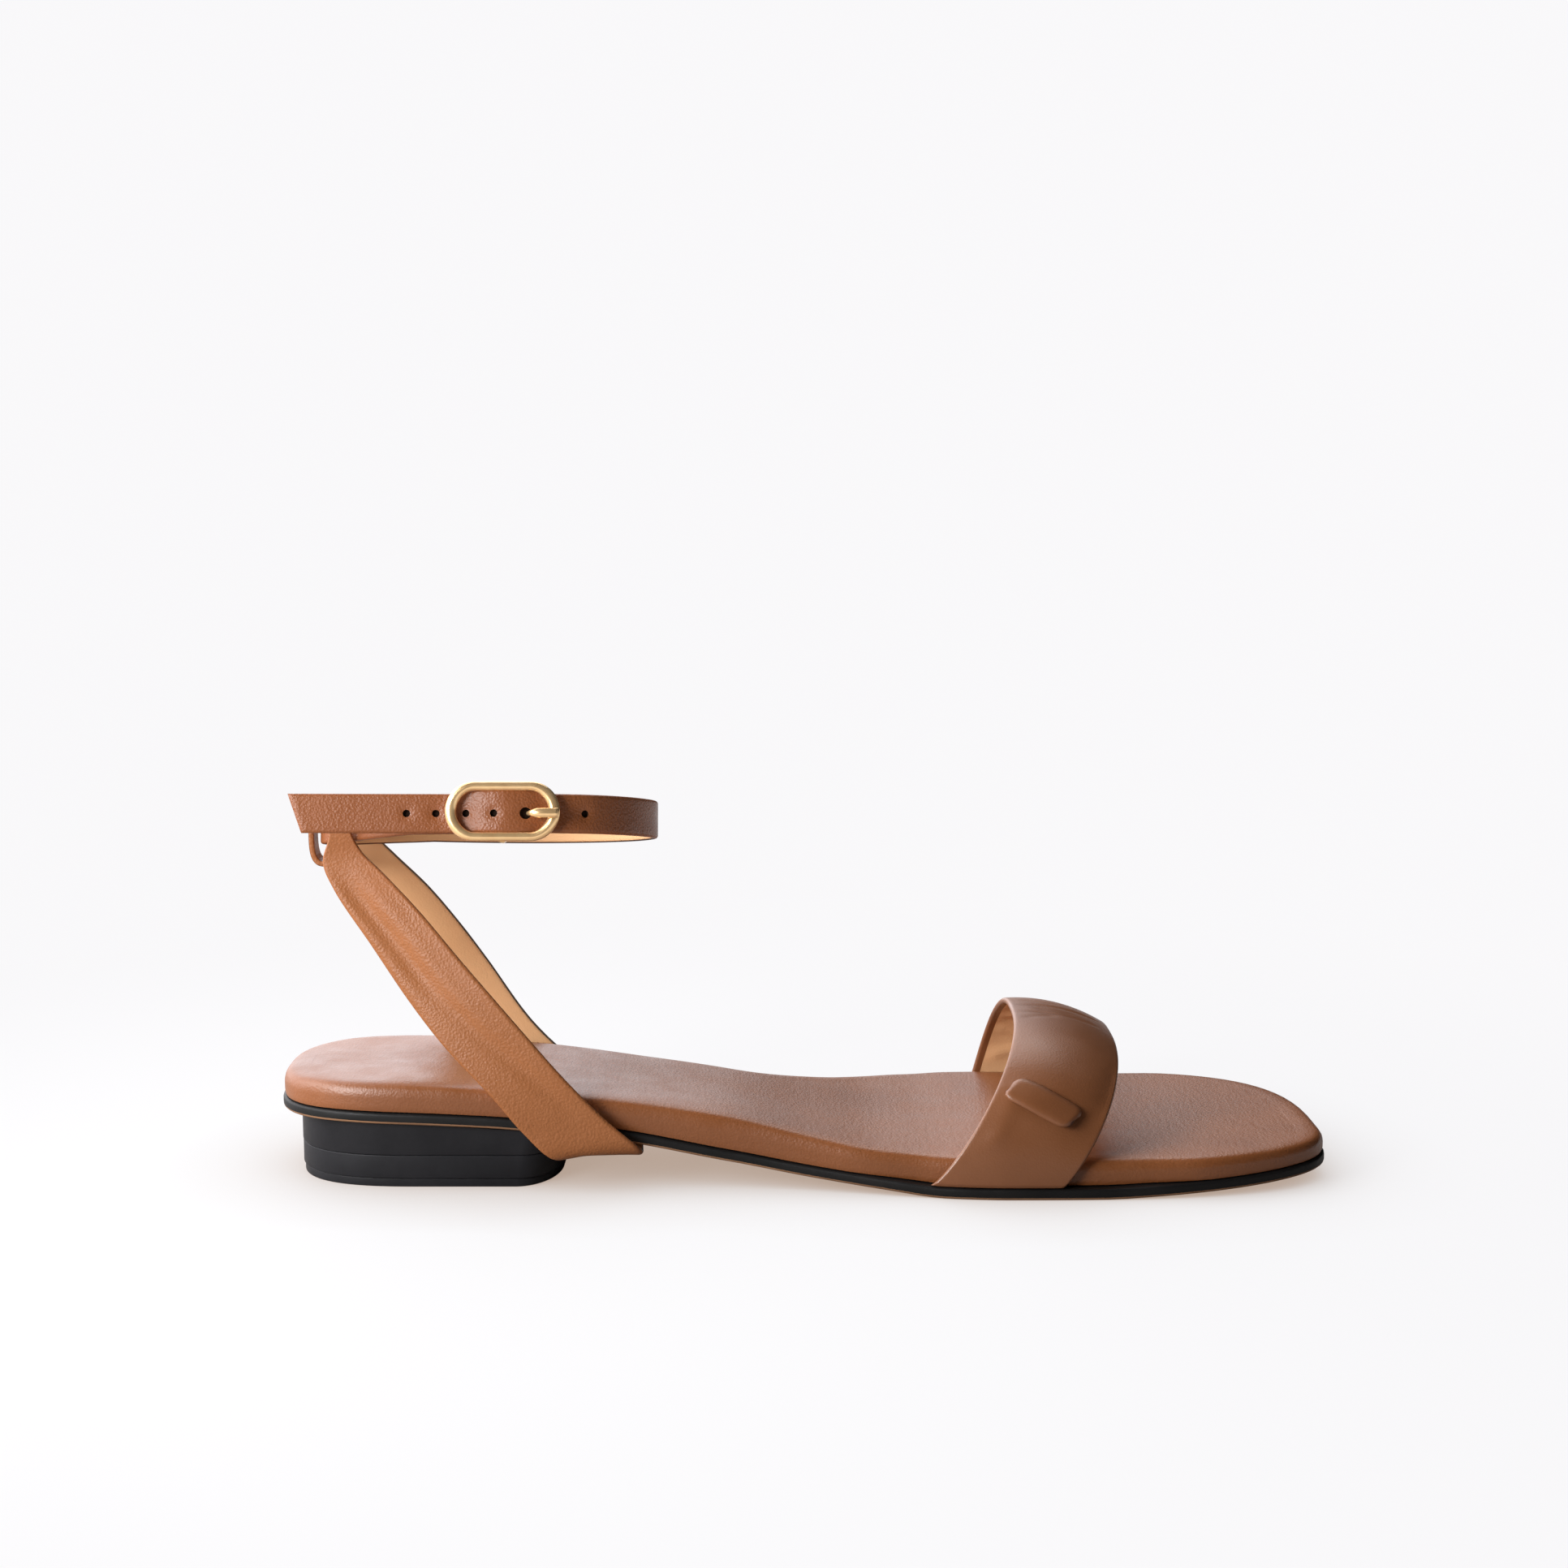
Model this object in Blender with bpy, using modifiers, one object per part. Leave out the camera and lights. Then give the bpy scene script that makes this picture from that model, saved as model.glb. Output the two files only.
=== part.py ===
"""Flat leather sandal for a right foot: sole, low stacked heel, toe band, heel sling and ankle strap.

Sizes are in millimetres and are turned into metres where a mesh is made.
X runs from the back of the heel to the toe, Y from the outer side to the inner side, Z up from the floor.
"""
import math
from collections import namedtuple

import bmesh
import bpy
from mathutils import Vector

MM = 0.001
OBJECT_NAME = "flat_sandal"
GAP = 0.3                      # room between pieces that meet
CURVE_STEPS = 16               # points between two given ones, before a curve is spaced evenly
SHARP_ANGLE = math.radians(35)
WELD_DISTANCE = 0.01

# Sole: plan
SOLE_LENGTH = 249.5
SOLE_AXIS_Y = -8.5             # middle of the heel, and of the straps above it
HEEL_WIDE_X = 35.0
BALL_X = 172.0
TOE_TIP_Y = -17.0
HEEL_ROUNDNESS = 2.7           # exponent of the superellipse at each end
TOE_ROUNDNESS_NEAR = 2.7
TOE_ROUNDNESS_FAR = 3.0
END_STEPS = 12                 # points along each rounded end and along each side
SIDE_STEPS = 20

Side = namedtuple("Side", "x near far")
SIDES = (
    Side(35, -35.0, 18.0),
    Side(62, -34.2, 17.4),
    Side(88, -32.8, 16.0),
    Side(108, -33.2, 16.0),
    Side(128, -36.0, 24.5),
    Side(150, -40.6, 41.0),
    Side(162, -42.8, 45.2),
    Side(172, -43.5, 46.0),
    Side(180, -43.5, 46.0),
)

# Sole: heights of the outsole's underside and of the footbed's top
Level = namedtuple("Level", "x bottom top")
LEVELS = (
    Level(0, 15.9, 24.8),
    Level(14, 15.9, 25.2),
    Level(30, 15.6, 25.1),
    Level(51, 14.6, 23.9),
    Level(68, 12.9, 22.4),
    Level(85, 10.5, 20.3),
    Level(106, 6.5, 17.2),
    Level(128, 3.0, 12.7),
    Level(144, 1.2, 10.1),
    Level(158, 0.0, 9.2),
    Level(194, 0.0, 8.9),
    Level(207, 0.5, 9.0),
    Level(224, 1.5, 9.6),
    Level(249.5, 3.5, 10.8),
)
OUTSOLE_THICK = 2.6
OUTSOLE_ROUND = 0.5

# Footbed: distance in from the outsole's edge, and share of its height
Ring = namedtuple("Ring", "inset share")
FOOTBED_RINGS = (
    Ring(2.6, 0.0),
    Ring(2.4, 0.16),
    Ring(2.4, 0.42),
    Ring(3.0, 0.66),
    Ring(4.1, 0.84),
    Ring(5.8, 0.95),
    Ring(8.2, 1.0),
)

FOOTBED_RELIEF = 2.0           # the footbed's wall stands this much further out, away from the band
BAND_RECESS_START = 146.0
BAND_RECESS_END = 209.0
BAND_RECESS_FADE = 7.0

# Heel: three layers, from the outsole down
HEEL_BACK_X = 4.4
HEEL_FRONT_X = 69.6
HEEL_NEAR_Y = -32.9
HEEL_FAR_Y = 15.9
HEEL_CORNER = 10.0             # how far back the breast's rounded corners start
HEEL_CORNER_REACH = 17.0       # and how far in from the sides they end
HEEL_UNDERCUT = 1.6            # how far the breast leans back from top to floor
Layer = namedtuple("Layer", "name floor roof inset")
HEEL_LAYERS = (
    Layer("heel_block", 7.8, None, 0.0),
    Layer("heel_lift", 2.2, 7.5, 0.15),
    Layer("heel_top_piece", 0.0, 1.9, 0.9),
)
HEEL_ROUND = 0.4
HEEL_CORNER_SKIP = 2           # the corners need fewer points than the rounded back

# Toe band: its rear and front edges as arches over the foot
BAND_THICK = 1.5
BAND_FOOT = 0.05               # clear of the outsole's edge, on the inside
BAND_CROWN = 2.0               # bulge half way between its edges
BAND_STEPS_AROUND = 40
BAND_STEPS_ALONG = 8
Arch = namedtuple("Arch", "near_x top_x far_x top_y rise roundness")
BAND_REAR = Arch(154.5, 176.2, 168.6, 1.0, 34.6, 2.4)
BAND_FRONT = Arch(185.0, 201.0, 197.5, 2.0, 28.0, 2.45)
BAND_LEAN = 0.85               # how early the band leans forward as it climbs
BAND_CROWN_REACH = 1.6         # how soon the bulge is full, going up from the feet
BAND_CROWDING = 0.55           # how much closer the steps are at the feet
BAND_NUDGE = 0.004             # small step on the surface, to find its outward direction

# Bar tab on the near side of the band, in shares of the band's own surface
TAB_THICK = 1.7
TAB_LENGTH = 18.6
TAB_WIDTH = 6.5
TAB_AROUND = 0.18
TAB_ALONG = 0.43
TAB_SLANT = math.radians(21)
TAB_STEPS = 10
TAB_COLUMNS = 5
TAB_END_SHARE = 0.3            # share of each half that is rounded off
TAB_END_WIDTH = 0.55           # width left at the very ends
TAB_PROBE = 0.01               # small share of the band, to measure its size there

# Heel sling: edges of one arm, from the middle of the underside up to the neck
SLING_THICK = 1.5
SLING_STEPS = 74
SLING_COLUMNS = 5
Rung = namedtuple("Rung", "y rear_x rear_z front_x front_z far_shift")
SLING_RUNGS = (
    Rung(-8.5, 70.6, 11.3, 87.2, 8.9, 0.0),
    Rung(-18.0, 70.6, 11.3, 87.2, 8.9, 0.0),
    Rung(-27.0, 70.4, 10.6, 87.3, 8.8, 0.0),
    Rung(-33.6, 69.2, 8.2, 87.6, 8.8, -1.4),
    Rung(-36.6, 66.2, 8.3, 86.9, 10.6, -5.0),
    Rung(-36.9, 59.8, 14.3, 78.9, 17.6, -11.2),
    Rung(-36.2, 52.8, 22.4, 69.4, 27.2, -12.0),
    Rung(-32.8, 41.4, 33.8, 53.7, 44.5, -7.6),
    Rung(-29.2, 33.2, 43.4, 44.9, 53.8, -4.6),
    Rung(-25.0, 23.8, 56.1, 35.1, 64.4, -2.3),
    Rung(-21.4, 14.8, 68.5, 26.3, 72.8, -0.9),
    Rung(-20.0, 12.0, 75.0, 21.2, 77.6, 0.0),
    Rung(-20.0, 13.6, 81.2, 18.9, 81.9, 0.0),
    Rung(-20.0, 13.8, 85.6, 18.2, 85.8, 0.0),
)

# Loop of the sling round the back of the ankle strap
LOOP_X = 11.2
LOOP_Z = 80.6
LOOP_HALF_X = 3.5
LOOP_HALF_Z = 7.5
LOOP_ROUNDNESS = 3.2
LOOP_THICK = 1.3
LOOP_HALF_WIDTH = 3.0          # beside the strap
SADDLE_HALF_WIDTH = 11.6       # in front, under the strap, where it meets the arms
SADDLE_X = 11.4
SADDLE_Z = 74.6
SADDLE_FADE = 1.4
LOOP_STEPS = 32

# Ankle strap: its middle line in plan, lying on a tilted plane
STRAP_THICK = 1.5
STRAP_WIDTH = 9.0
STRAP_LEVEL_Z = 83.4           # height of the tilted plane above the sole's axis
STRAP_TILT = math.radians(11.3)
STRAP_DIP = 1.4                # the strap sinks this much towards the loop at the back
STRAP_DIP_X = 34.0
STRAP_DIP_REACH = 20.0
STRAP_STEPS = 150
STRAP_COLUMNS = (-0.5, -0.17, 0.17, 0.5)    # shares of the width
OUTER_RUN_SHARE = 2 / 3        # from here on the strap is the outer run, up to the free end
END_SLANT = 3.2                # how far the free end's upper corner runs past the lower one
END_SLANT_REACH = 18.0
BAR_X = 56.6
BAR_Y = -35.4
BAR_RADIUS = 0.9
FOLD_RADIUS = BAR_RADIUS + GAP + STRAP_THICK / 2
Spot = namedtuple("Spot", "x y")
STRAP_ROUTE = (
    Spot(BAR_X - 1.2, BAR_Y - FOLD_RADIUS * 0.82),
    Spot(BAR_X + 0.6, BAR_Y - FOLD_RADIUS * 0.96),
    Spot(BAR_X + FOLD_RADIUS, BAR_Y),
    Spot(BAR_X + 0.6, BAR_Y + FOLD_RADIUS * 0.96),
    Spot(BAR_X - 3.0, BAR_Y + FOLD_RADIUS * 1.02),
    Spot(44.0, -32.4),
    Spot(32.0, -27.2),
    Spot(20.5, -18.0),
    Spot(13.4, -13.9),
    Spot(10.4, -8.5),
    Spot(13.4, -3.1),
    Spot(20.5, 1.0),
    Spot(32.0, 9.8),
    Spot(44.0, 16.6),
    Spot(57.0, 19.8),
    Spot(72.0, 16.6),
    Spot(84.0, 7.0),
    Spot(89.6, -8.5),
    Spot(85.0, -24.0),
    Spot(77.0, -33.2),
    Spot(69.2, -36.8),
    Spot(63.0, -37.5),
    Spot(56.6, -39.2),
    Spot(50.2, -37.5),
    Spot(44.0, -36.8),
    Spot(36.0, -37.1),
    Spot(22.0, -37.6),
    Spot(7.6, -38.1),
)

# Holes of the strap
HOLE_RADIUS = 0.85
PRONG_HOLE_RADIUS = 1.2         # the prong has stretched its hole
HOLE_COUNT = 7
HOLE_PITCH = 6.85
PRONG_HOLE_X = 61.8
PRONG_HOLE_PLACE = 4           # counted from the free end, the first hole being 0
HOLE_SIDES = 14
HOLE_DEPTH = 3 * STRAP_THICK

# Buckle
FRAME_LENGTH = 26.2
FRAME_HEIGHT = 13.6
FRAME_RADIUS = 0.95
FRAME_Y = -39.2
FRAME_ARC_STEPS = 12
Bend = namedtuple("Bend", "y inward")
BAR_BENDS = (                  # the bar leaves the frame, runs under the strap and turns along it
    Bend(FRAME_Y, 0.0),
    Bend(BAR_Y - 1.3, 0.0),
    Bend(BAR_Y - 0.35, 0.3),
    Bend(BAR_Y, 0.9),
)
PRONG_RADIUS = 0.65
PRONG_EYE_RADIUS = BAR_RADIUS + GAP + PRONG_RADIUS
PRONG_EYE_START = math.radians(-150)
PRONG_EYE_TURN = math.radians(300)
PRONG_EYE_STEPS = 9
PRONG_STEPS = 34
PRONG_REST_Y = FRAME_Y - FRAME_RADIUS - GAP - PRONG_RADIUS
PRONG_ROUTE = (                # up through its hole and out along the strap to the end of the frame
    Spot(PRONG_HOLE_X - 0.5, BAR_Y - 1.0),
    Spot(PRONG_HOLE_X + 0.3, BAR_Y - 3.8),
    Spot(PRONG_HOLE_X + 1.0, PRONG_REST_Y + 0.5),
    Spot(PRONG_HOLE_X + 2.8, PRONG_REST_Y),
    Spot(BAR_X + FRAME_LENGTH / 2 - 0.3, PRONG_REST_Y),
)
SLOT_HALF_WIDTH = PRONG_RADIUS + 0.5
SLOT_LENGTH = 9.0
SLOT_SHIFT = 0.45 * GAP         # keeps the slot out of the run that lies over the bar

Finish = namedtuple("Finish", "colour roughness metallic")
BROWN_LEATHER = Finish((0.30, 0.135, 0.062), 0.45, 0.0)
FOOTBED_LEATHER = Finish((0.27, 0.115, 0.05), 0.4, 0.0)
BLACK_RUBBER = Finish((0.012, 0.013, 0.015), 0.5, 0.0)
GOLD_METAL = Finish((0.83, 0.62, 0.32), 0.22, 1.0)


# Curves through tables


def slopes_without_overshoot(xs, ys):
    """Slope at each row, so that a curve through the rows never swings past them."""
    steps = [b - a for a, b in zip(xs, xs[1:])]
    rises = [(b - a) / h for a, b, h in zip(ys, ys[1:], steps)]
    inner = []
    for left, right in zip(rises, rises[1:]):
        same_way = left * right > 0
        inner.append(2 * left * right / (left + right) if same_way else 0.0)
    return [0.0] + inner + [rises[-1] if len(rises) > 1 else 0.0]


def from_table(rows, column, x):
    """Smooth value of one column of a table, by its x column."""
    xs = [row.x for row in rows]
    ys = [getattr(row, column) for row in rows]
    slopes = slopes_without_overshoot(xs, ys)
    x = min(max(x, xs[0]), xs[-1])
    k = max(i for i in range(len(xs) - 1) if xs[i] <= x)
    h = xs[k + 1] - xs[k]
    t = (x - xs[k]) / h
    start = (1 + 2 * t) * (1 - t) ** 2 * ys[k] + t * (1 - t) ** 2 * h * slopes[k]
    end = t * t * (3 - 2 * t) * ys[k + 1] + t * t * (t - 1) * h * slopes[k + 1]
    return start + end


def smooth_path(points, steps):
    """Points at even spacing along a centripetal curve through the given vectors."""
    padded = [2 * points[0] - points[1]] + list(points) + [2 * points[-1] - points[-2]]
    dense = []
    for p0, p1, p2, p3 in zip(padded, padded[1:], padded[2:], padded[3:]):
        t1 = (p1 - p0).length ** 0.5
        t2 = t1 + (p2 - p1).length ** 0.5
        t3 = t2 + (p3 - p2).length ** 0.5
        for i in range(CURVE_STEPS):
            t = t1 + (t2 - t1) * i / CURVE_STEPS
            a1 = p0 * ((t1 - t) / t1) + p1 * (t / t1)
            a2 = p1 * ((t2 - t) / (t2 - t1)) + p2 * ((t - t1) / (t2 - t1))
            a3 = p2 * ((t3 - t) / (t3 - t2)) + p3 * ((t - t2) / (t3 - t2))
            b1 = a1 * ((t2 - t) / t2) + a2 * (t / t2)
            b2 = a2 * ((t3 - t) / (t3 - t1)) + a3 * ((t - t1) / (t3 - t1))
            dense.append(b1 * ((t2 - t) / (t2 - t1)) + b2 * ((t - t1) / (t2 - t1)))
    dense.append(points[-1].copy())
    return evenly_spaced(dense, steps)


def evenly_spaced(dense, steps):
    """The same line with its points at even distances."""
    lengths = [0.0]
    for a, b in zip(dense, dense[1:]):
        lengths.append(lengths[-1] + (b - a).length)
    result = []
    k = 0
    for i in range(steps + 1):
        want = lengths[-1] * i / steps
        while k < len(dense) - 2 and lengths[k + 1] < want:
            k += 1
        share = (want - lengths[k]) / (lengths[k + 1] - lengths[k])
        result.append(dense[k].lerp(dense[k + 1], min(max(share, 0.0), 1.0)))
    return result


# Making objects


def new_collection(name):
    collection = bpy.data.collections.new(name)
    bpy.context.scene.collection.children.link(collection)
    return collection


def finish_material(name, finish):
    material = bpy.data.materials.new(name)
    material.use_nodes = True
    shader = material.node_tree.nodes["Principled BSDF"]
    shader.inputs["Base Color"].default_value = (*finish.colour, 1.0)
    shader.inputs["Roughness"].default_value = finish.roughness
    shader.inputs["Metallic"].default_value = finish.metallic
    return material


def add_part(name, mesh, finish):
    """One named piece with its own material, hung on the object's root."""
    mesh.materials.append(finish_material(name, finish))
    mesh.shade_smooth()
    mesh.set_sharp_from_angle(angle=SHARP_ANGLE)
    part = bpy.data.objects.new(name, mesh)
    parts.objects.link(part)
    part.parent = root
    return part


def add_cutter(name, mesh):
    cutter = bpy.data.objects.new(name, mesh)
    cutters.objects.link(cutter)
    cutter.parent = root
    cutter.hide_render = True
    cutter.display_type = "WIRE"
    return cutter


def boolean(part, cutter, operation):
    modifier = part.modifiers.new(cutter.name, "BOOLEAN")
    modifier.operation = operation
    modifier.solver = "EXACT"
    modifier.object = cutter


def solidify(part, thickness):
    modifier = part.modifiers.new("thickness", "SOLIDIFY")
    modifier.thickness = thickness * MM
    modifier.offset = 0.0
    modifier.use_even_offset = True


def mesh_from(name, points, faces):
    """Mesh of millimetre points, with its faces turned outwards."""
    mesh = bpy.data.meshes.new(name)
    mesh.from_pydata([tuple(c * MM for c in p) for p in points], [], faces)
    work = bmesh.new()
    work.from_mesh(mesh)
    bmesh.ops.recalc_face_normals(work, faces=work.faces)
    work.to_mesh(mesh)
    work.free()
    return mesh


def grid_mesh(name, rows, closed=False):
    """Open surface through rows of points; closed joins the last row to the first."""
    across = len(rows[0])
    points = [p for row in rows for p in row]
    last = len(rows) if closed else len(rows) - 1
    faces = []
    for i in range(last):
        j = (i + 1) % len(rows)
        for k in range(across - 1):
            faces.append((i * across + k, j * across + k, j * across + k + 1, i * across + k + 1))
    return mesh_from(name, points, faces)


def loft_mesh(name, rings):
    """Closed solid through rings that run along one side and back along the other."""
    count = len(rings[0])
    points = [p for ring in rings for p in ring]
    faces = []
    for i in range(len(rings) - 1):
        for k in range(count):
            n = (k + 1) % count
            faces.append((i * count + k, i * count + n, (i + 1) * count + n, (i + 1) * count + k))
    for start in (0, (len(rings) - 1) * count):
        for k in range(count // 2):
            far_k, far_n = count - k, count - k - 1
            corners = (k, k + 1, far_n, far_k % count)
            faces.append(tuple(start + c for c in dict.fromkeys(corners)))
    return mesh_from(name, points, faces)


def tube_mesh(name, points, radius, closed=False, resolution=3):
    """Round wire along a line of points, with welded caps."""
    curve = bpy.data.curves.new(name, "CURVE")
    curve.dimensions = "3D"
    curve.bevel_depth = radius * MM
    curve.bevel_resolution = resolution
    curve.use_fill_caps = not closed
    spline = curve.splines.new("POLY")
    spline.points.add(len(points) - 1)
    for place, p in zip(spline.points, points):
        place.co = (p[0] * MM, p[1] * MM, p[2] * MM, 1.0)
    spline.use_cyclic_u = closed
    guide = bpy.data.objects.new(name, curve)
    cutters.objects.link(guide)
    bpy.context.view_layer.update()
    mesh = bpy.data.meshes.new_from_object(guide.evaluated_get(bpy.context.evaluated_depsgraph_get()))
    bpy.data.objects.remove(guide)
    work = bmesh.new()
    work.from_mesh(mesh)
    bmesh.ops.remove_doubles(work, verts=work.verts, dist=WELD_DISTANCE * MM)
    bmesh.ops.recalc_face_normals(work, faces=work.faces)
    work.to_mesh(mesh)
    work.free()
    mesh.materials.clear()
    return mesh


# Sole and heel


def sole_stations():
    """Distances along the sole, close together round the two ends."""
    quarter = [math.pi / 2 * i / END_STEPS for i in range(END_STEPS)]
    heel = [HEEL_WIDE_X * (1 - math.cos(a)) for a in quarter]
    sides = [HEEL_WIDE_X + (BALL_X - HEEL_WIDE_X) * i / SIDE_STEPS for i in range(SIDE_STEPS)]
    toe = [BALL_X + (SOLE_LENGTH - BALL_X) * math.sin(a) for a in quarter]
    return heel + sides + toe + [SOLE_LENGTH]


def edge_y(x, side):
    """The outsole's edge at a station, on the near or the far side."""
    widest = from_table(SIDES, side, x)
    if x < HEEL_WIDE_X:
        share = (HEEL_WIDE_X - x) / HEEL_WIDE_X
        return SOLE_AXIS_Y + (widest - SOLE_AXIS_Y) * superellipse(share, HEEL_ROUNDNESS)
    if x > BALL_X:
        roundness = TOE_ROUNDNESS_NEAR if side == "near" else TOE_ROUNDNESS_FAR
        share = (x - BALL_X) / (SOLE_LENGTH - BALL_X)
        return TOE_TIP_Y + (widest - TOE_TIP_Y) * superellipse(share, roundness)
    return widest


def superellipse(share, roundness):
    return max(0.0, 1.0 - min(share, 1.0) ** roundness) ** (1.0 / roundness)


def sole_outline():
    """Closed outline: near side from heel to toe, then the far side back."""
    stations = sole_stations()
    near = [Vector((x, edge_y(x, "near"), 0.0)) for x in stations]
    far = [Vector((x, edge_y(x, "far"), 0.0)) for x in stations[1:-1]]
    return near + far[::-1]


def inset_outline(outline, inset, relief=0.0):
    """The outline moved in by a distance, each point with the station it came from."""
    count = len(outline)
    moved = []
    for k, p in enumerate(outline):
        along = (outline[(k + 1) % count] - outline[k - 1]).normalized()
        depth = inset - relief * (1.0 - band_recess(p.x))
        moved.append(Vector((p.x - along.y * depth, p.y + along.x * depth, p.x)))
    return moved


def band_recess(x):
    """1 beside the toe band, where the footbed makes room for it, and 0 elsewhere."""
    inside = min(x - BAND_RECESS_START, BAND_RECESS_END - x) / BAND_RECESS_FADE
    share = min(max(inside, 0.0), 1.0)
    return share * share * (3.0 - 2.0 * share)


def sole_bottom(x):
    return from_table(LEVELS, "bottom", x)


def footbed_floor(x):
    return sole_bottom(x) + OUTSOLE_THICK + GAP


def footbed_height(x, share):
    floor = footbed_floor(x)
    return floor + (from_table(LEVELS, "top", x) - floor) * share


def make_outsole():
    outline = sole_outline()
    rings = []
    for inset, lift in ((OUTSOLE_ROUND, 0.0), (0.0, OUTSOLE_ROUND),
                        (0.0, OUTSOLE_THICK - OUTSOLE_ROUND), (OUTSOLE_ROUND, OUTSOLE_THICK)):
        rings.append([(p.x, p.y, sole_bottom(p.z) + lift) for p in inset_outline(outline, inset)])
    add_part("outsole", loft_mesh("outsole", rings), BLACK_RUBBER)


def make_footbed():
    outline = sole_outline()
    rings = []
    for ring in FOOTBED_RINGS:
        rings.append([(p.x, p.y, footbed_height(p.z, ring.share))
                      for p in inset_outline(outline, ring.inset, FOOTBED_RELIEF)])
    add_part("footbed", loft_mesh("footbed", rings), FOOTBED_LEATHER)


def heel_outline(front_x, inset):
    """Heel in plan: a rounded back, straight sides and a breast with wide rounded corners."""
    back_x = HEEL_BACK_X + inset
    corner_start = front_x - inset - HEEL_CORNER
    quarter = [math.pi / 2 * i / END_STEPS for i in range(END_STEPS + 1)]
    xs = [HEEL_WIDE_X - (HEEL_WIDE_X - back_x) * math.cos(a) for a in quarter]
    xs += [corner_start + HEEL_CORNER * math.sin(a) for a in quarter[::HEEL_CORNER_SKIP]]
    near, far = [], []
    for x in xs:
        share = (HEEL_WIDE_X - x) / (HEEL_WIDE_X - back_x)
        swell = superellipse(share, HEEL_ROUNDNESS) if x < HEEL_WIDE_X else 1.0
        corner = max(0.0, x - corner_start) / HEEL_CORNER
        trim = HEEL_CORNER_REACH * (1.0 - superellipse(corner, 2.0))
        near.append((x, SOLE_AXIS_Y + (HEEL_NEAR_Y + inset - SOLE_AXIS_Y) * swell + trim))
        far.append((x, SOLE_AXIS_Y + (HEEL_FAR_Y - inset - SOLE_AXIS_Y) * swell - trim))
    breast = [(near[-1][0], SOLE_AXIS_Y)]
    return near + breast + far[:0:-1]


def heel_ring(z, inset):
    """One closed ring of the heel; z None follows the underside of the outsole."""
    level = sole_bottom(HEEL_WIDE_X) if z is None else z
    lean = HEEL_UNDERCUT * (1.0 - level / sole_bottom(HEEL_WIDE_X))
    ring = []
    for x, y in heel_outline(HEEL_FRONT_X - lean, inset):
        ring.append((x, y, sole_bottom(x) - GAP if z is None else z))
    return ring


def make_heel():
    for layer in HEEL_LAYERS:
        rings = [
            heel_ring(layer.floor, layer.inset + HEEL_ROUND),
            heel_ring(layer.floor + HEEL_ROUND, layer.inset),
        ]
        if layer.roof is None:
            rings.append(heel_ring(None, layer.inset))
        else:
            rings.append(heel_ring(layer.roof - HEEL_ROUND, layer.inset))
            rings.append(heel_ring(layer.roof, layer.inset + HEEL_ROUND))
        add_part(layer.name, loft_mesh(layer.name, rings), BLACK_RUBBER)


# Toe band


def arch_point(arch, around):
    """Point of one edge of the band; around runs from 0 at the near foot to 1 at the far foot."""
    angle = math.pi * around
    sweep, climb = math.cos(angle), math.sin(angle)
    across = math.copysign(abs(sweep) ** (2.0 / arch.roundness), sweep)
    up = climb ** (2.0 / arch.roundness)
    side = "near" if around < 0.5 else "far"
    foot_x = arch.near_x if around < 0.5 else arch.far_x
    x = foot_x + (arch.top_x - foot_x) * up ** BAND_LEAN
    inward = (BAND_FOOT + BAND_THICK / 2) * (1 if side == "near" else -1)
    foot_y = edge_y(x, side) + inward
    y = arch.top_y + (foot_y - arch.top_y) * abs(across)
    floor = sole_bottom(x) + OUTSOLE_THICK + GAP
    return Vector((x, y, floor + (arch.rise - floor) * up))


def arch_at(along):
    """The arch part of the way from the rear edge, at 0, to the front edge, at 1."""
    return Arch(*(a + (b - a) * along for a, b in zip(BAND_REAR, BAND_FRONT)))


def band_point(around, along, lift=0.0):
    """Point of the band's middle surface, raised by a crown between its edges."""
    crown = BAND_CROWN * 4 * along * (1 - along) * climb_share(around)
    return arch_point(arch_at(along), around) + band_out(around, along) * (lift + crown)


def climb_share(around):
    return min(1.0, math.sin(math.pi * around) * BAND_CROWN_REACH) ** 2


def band_out(around, along):
    """Outward direction, square to the band."""
    low, high = max(0.0, around - BAND_NUDGE), min(1.0, around + BAND_NUDGE)
    round_way = arch_point(arch_at(along), high) - arch_point(arch_at(along), low)
    ahead, behind = arch_at(along + BAND_NUDGE), arch_at(along - BAND_NUDGE)
    fore_way = arch_point(ahead, around) - arch_point(behind, around)
    return fore_way.cross(round_way).normalized()


def band_share(i):
    """Steps round the band, closer together at its two feet."""
    t = i / BAND_STEPS_AROUND
    return t - math.sin(2 * math.pi * t) / (2 * math.pi) * BAND_CROWDING


def make_toe_band():
    rows = []
    for i in range(BAND_STEPS_AROUND + 1):
        rows.append([band_point(band_share(i), k / BAND_STEPS_ALONG) for k in range(BAND_STEPS_ALONG + 1)])
    band = add_part("toe_band", grid_mesh("toe_band", rows), BROWN_LEATHER)
    solidify(band, BAND_THICK)


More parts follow.
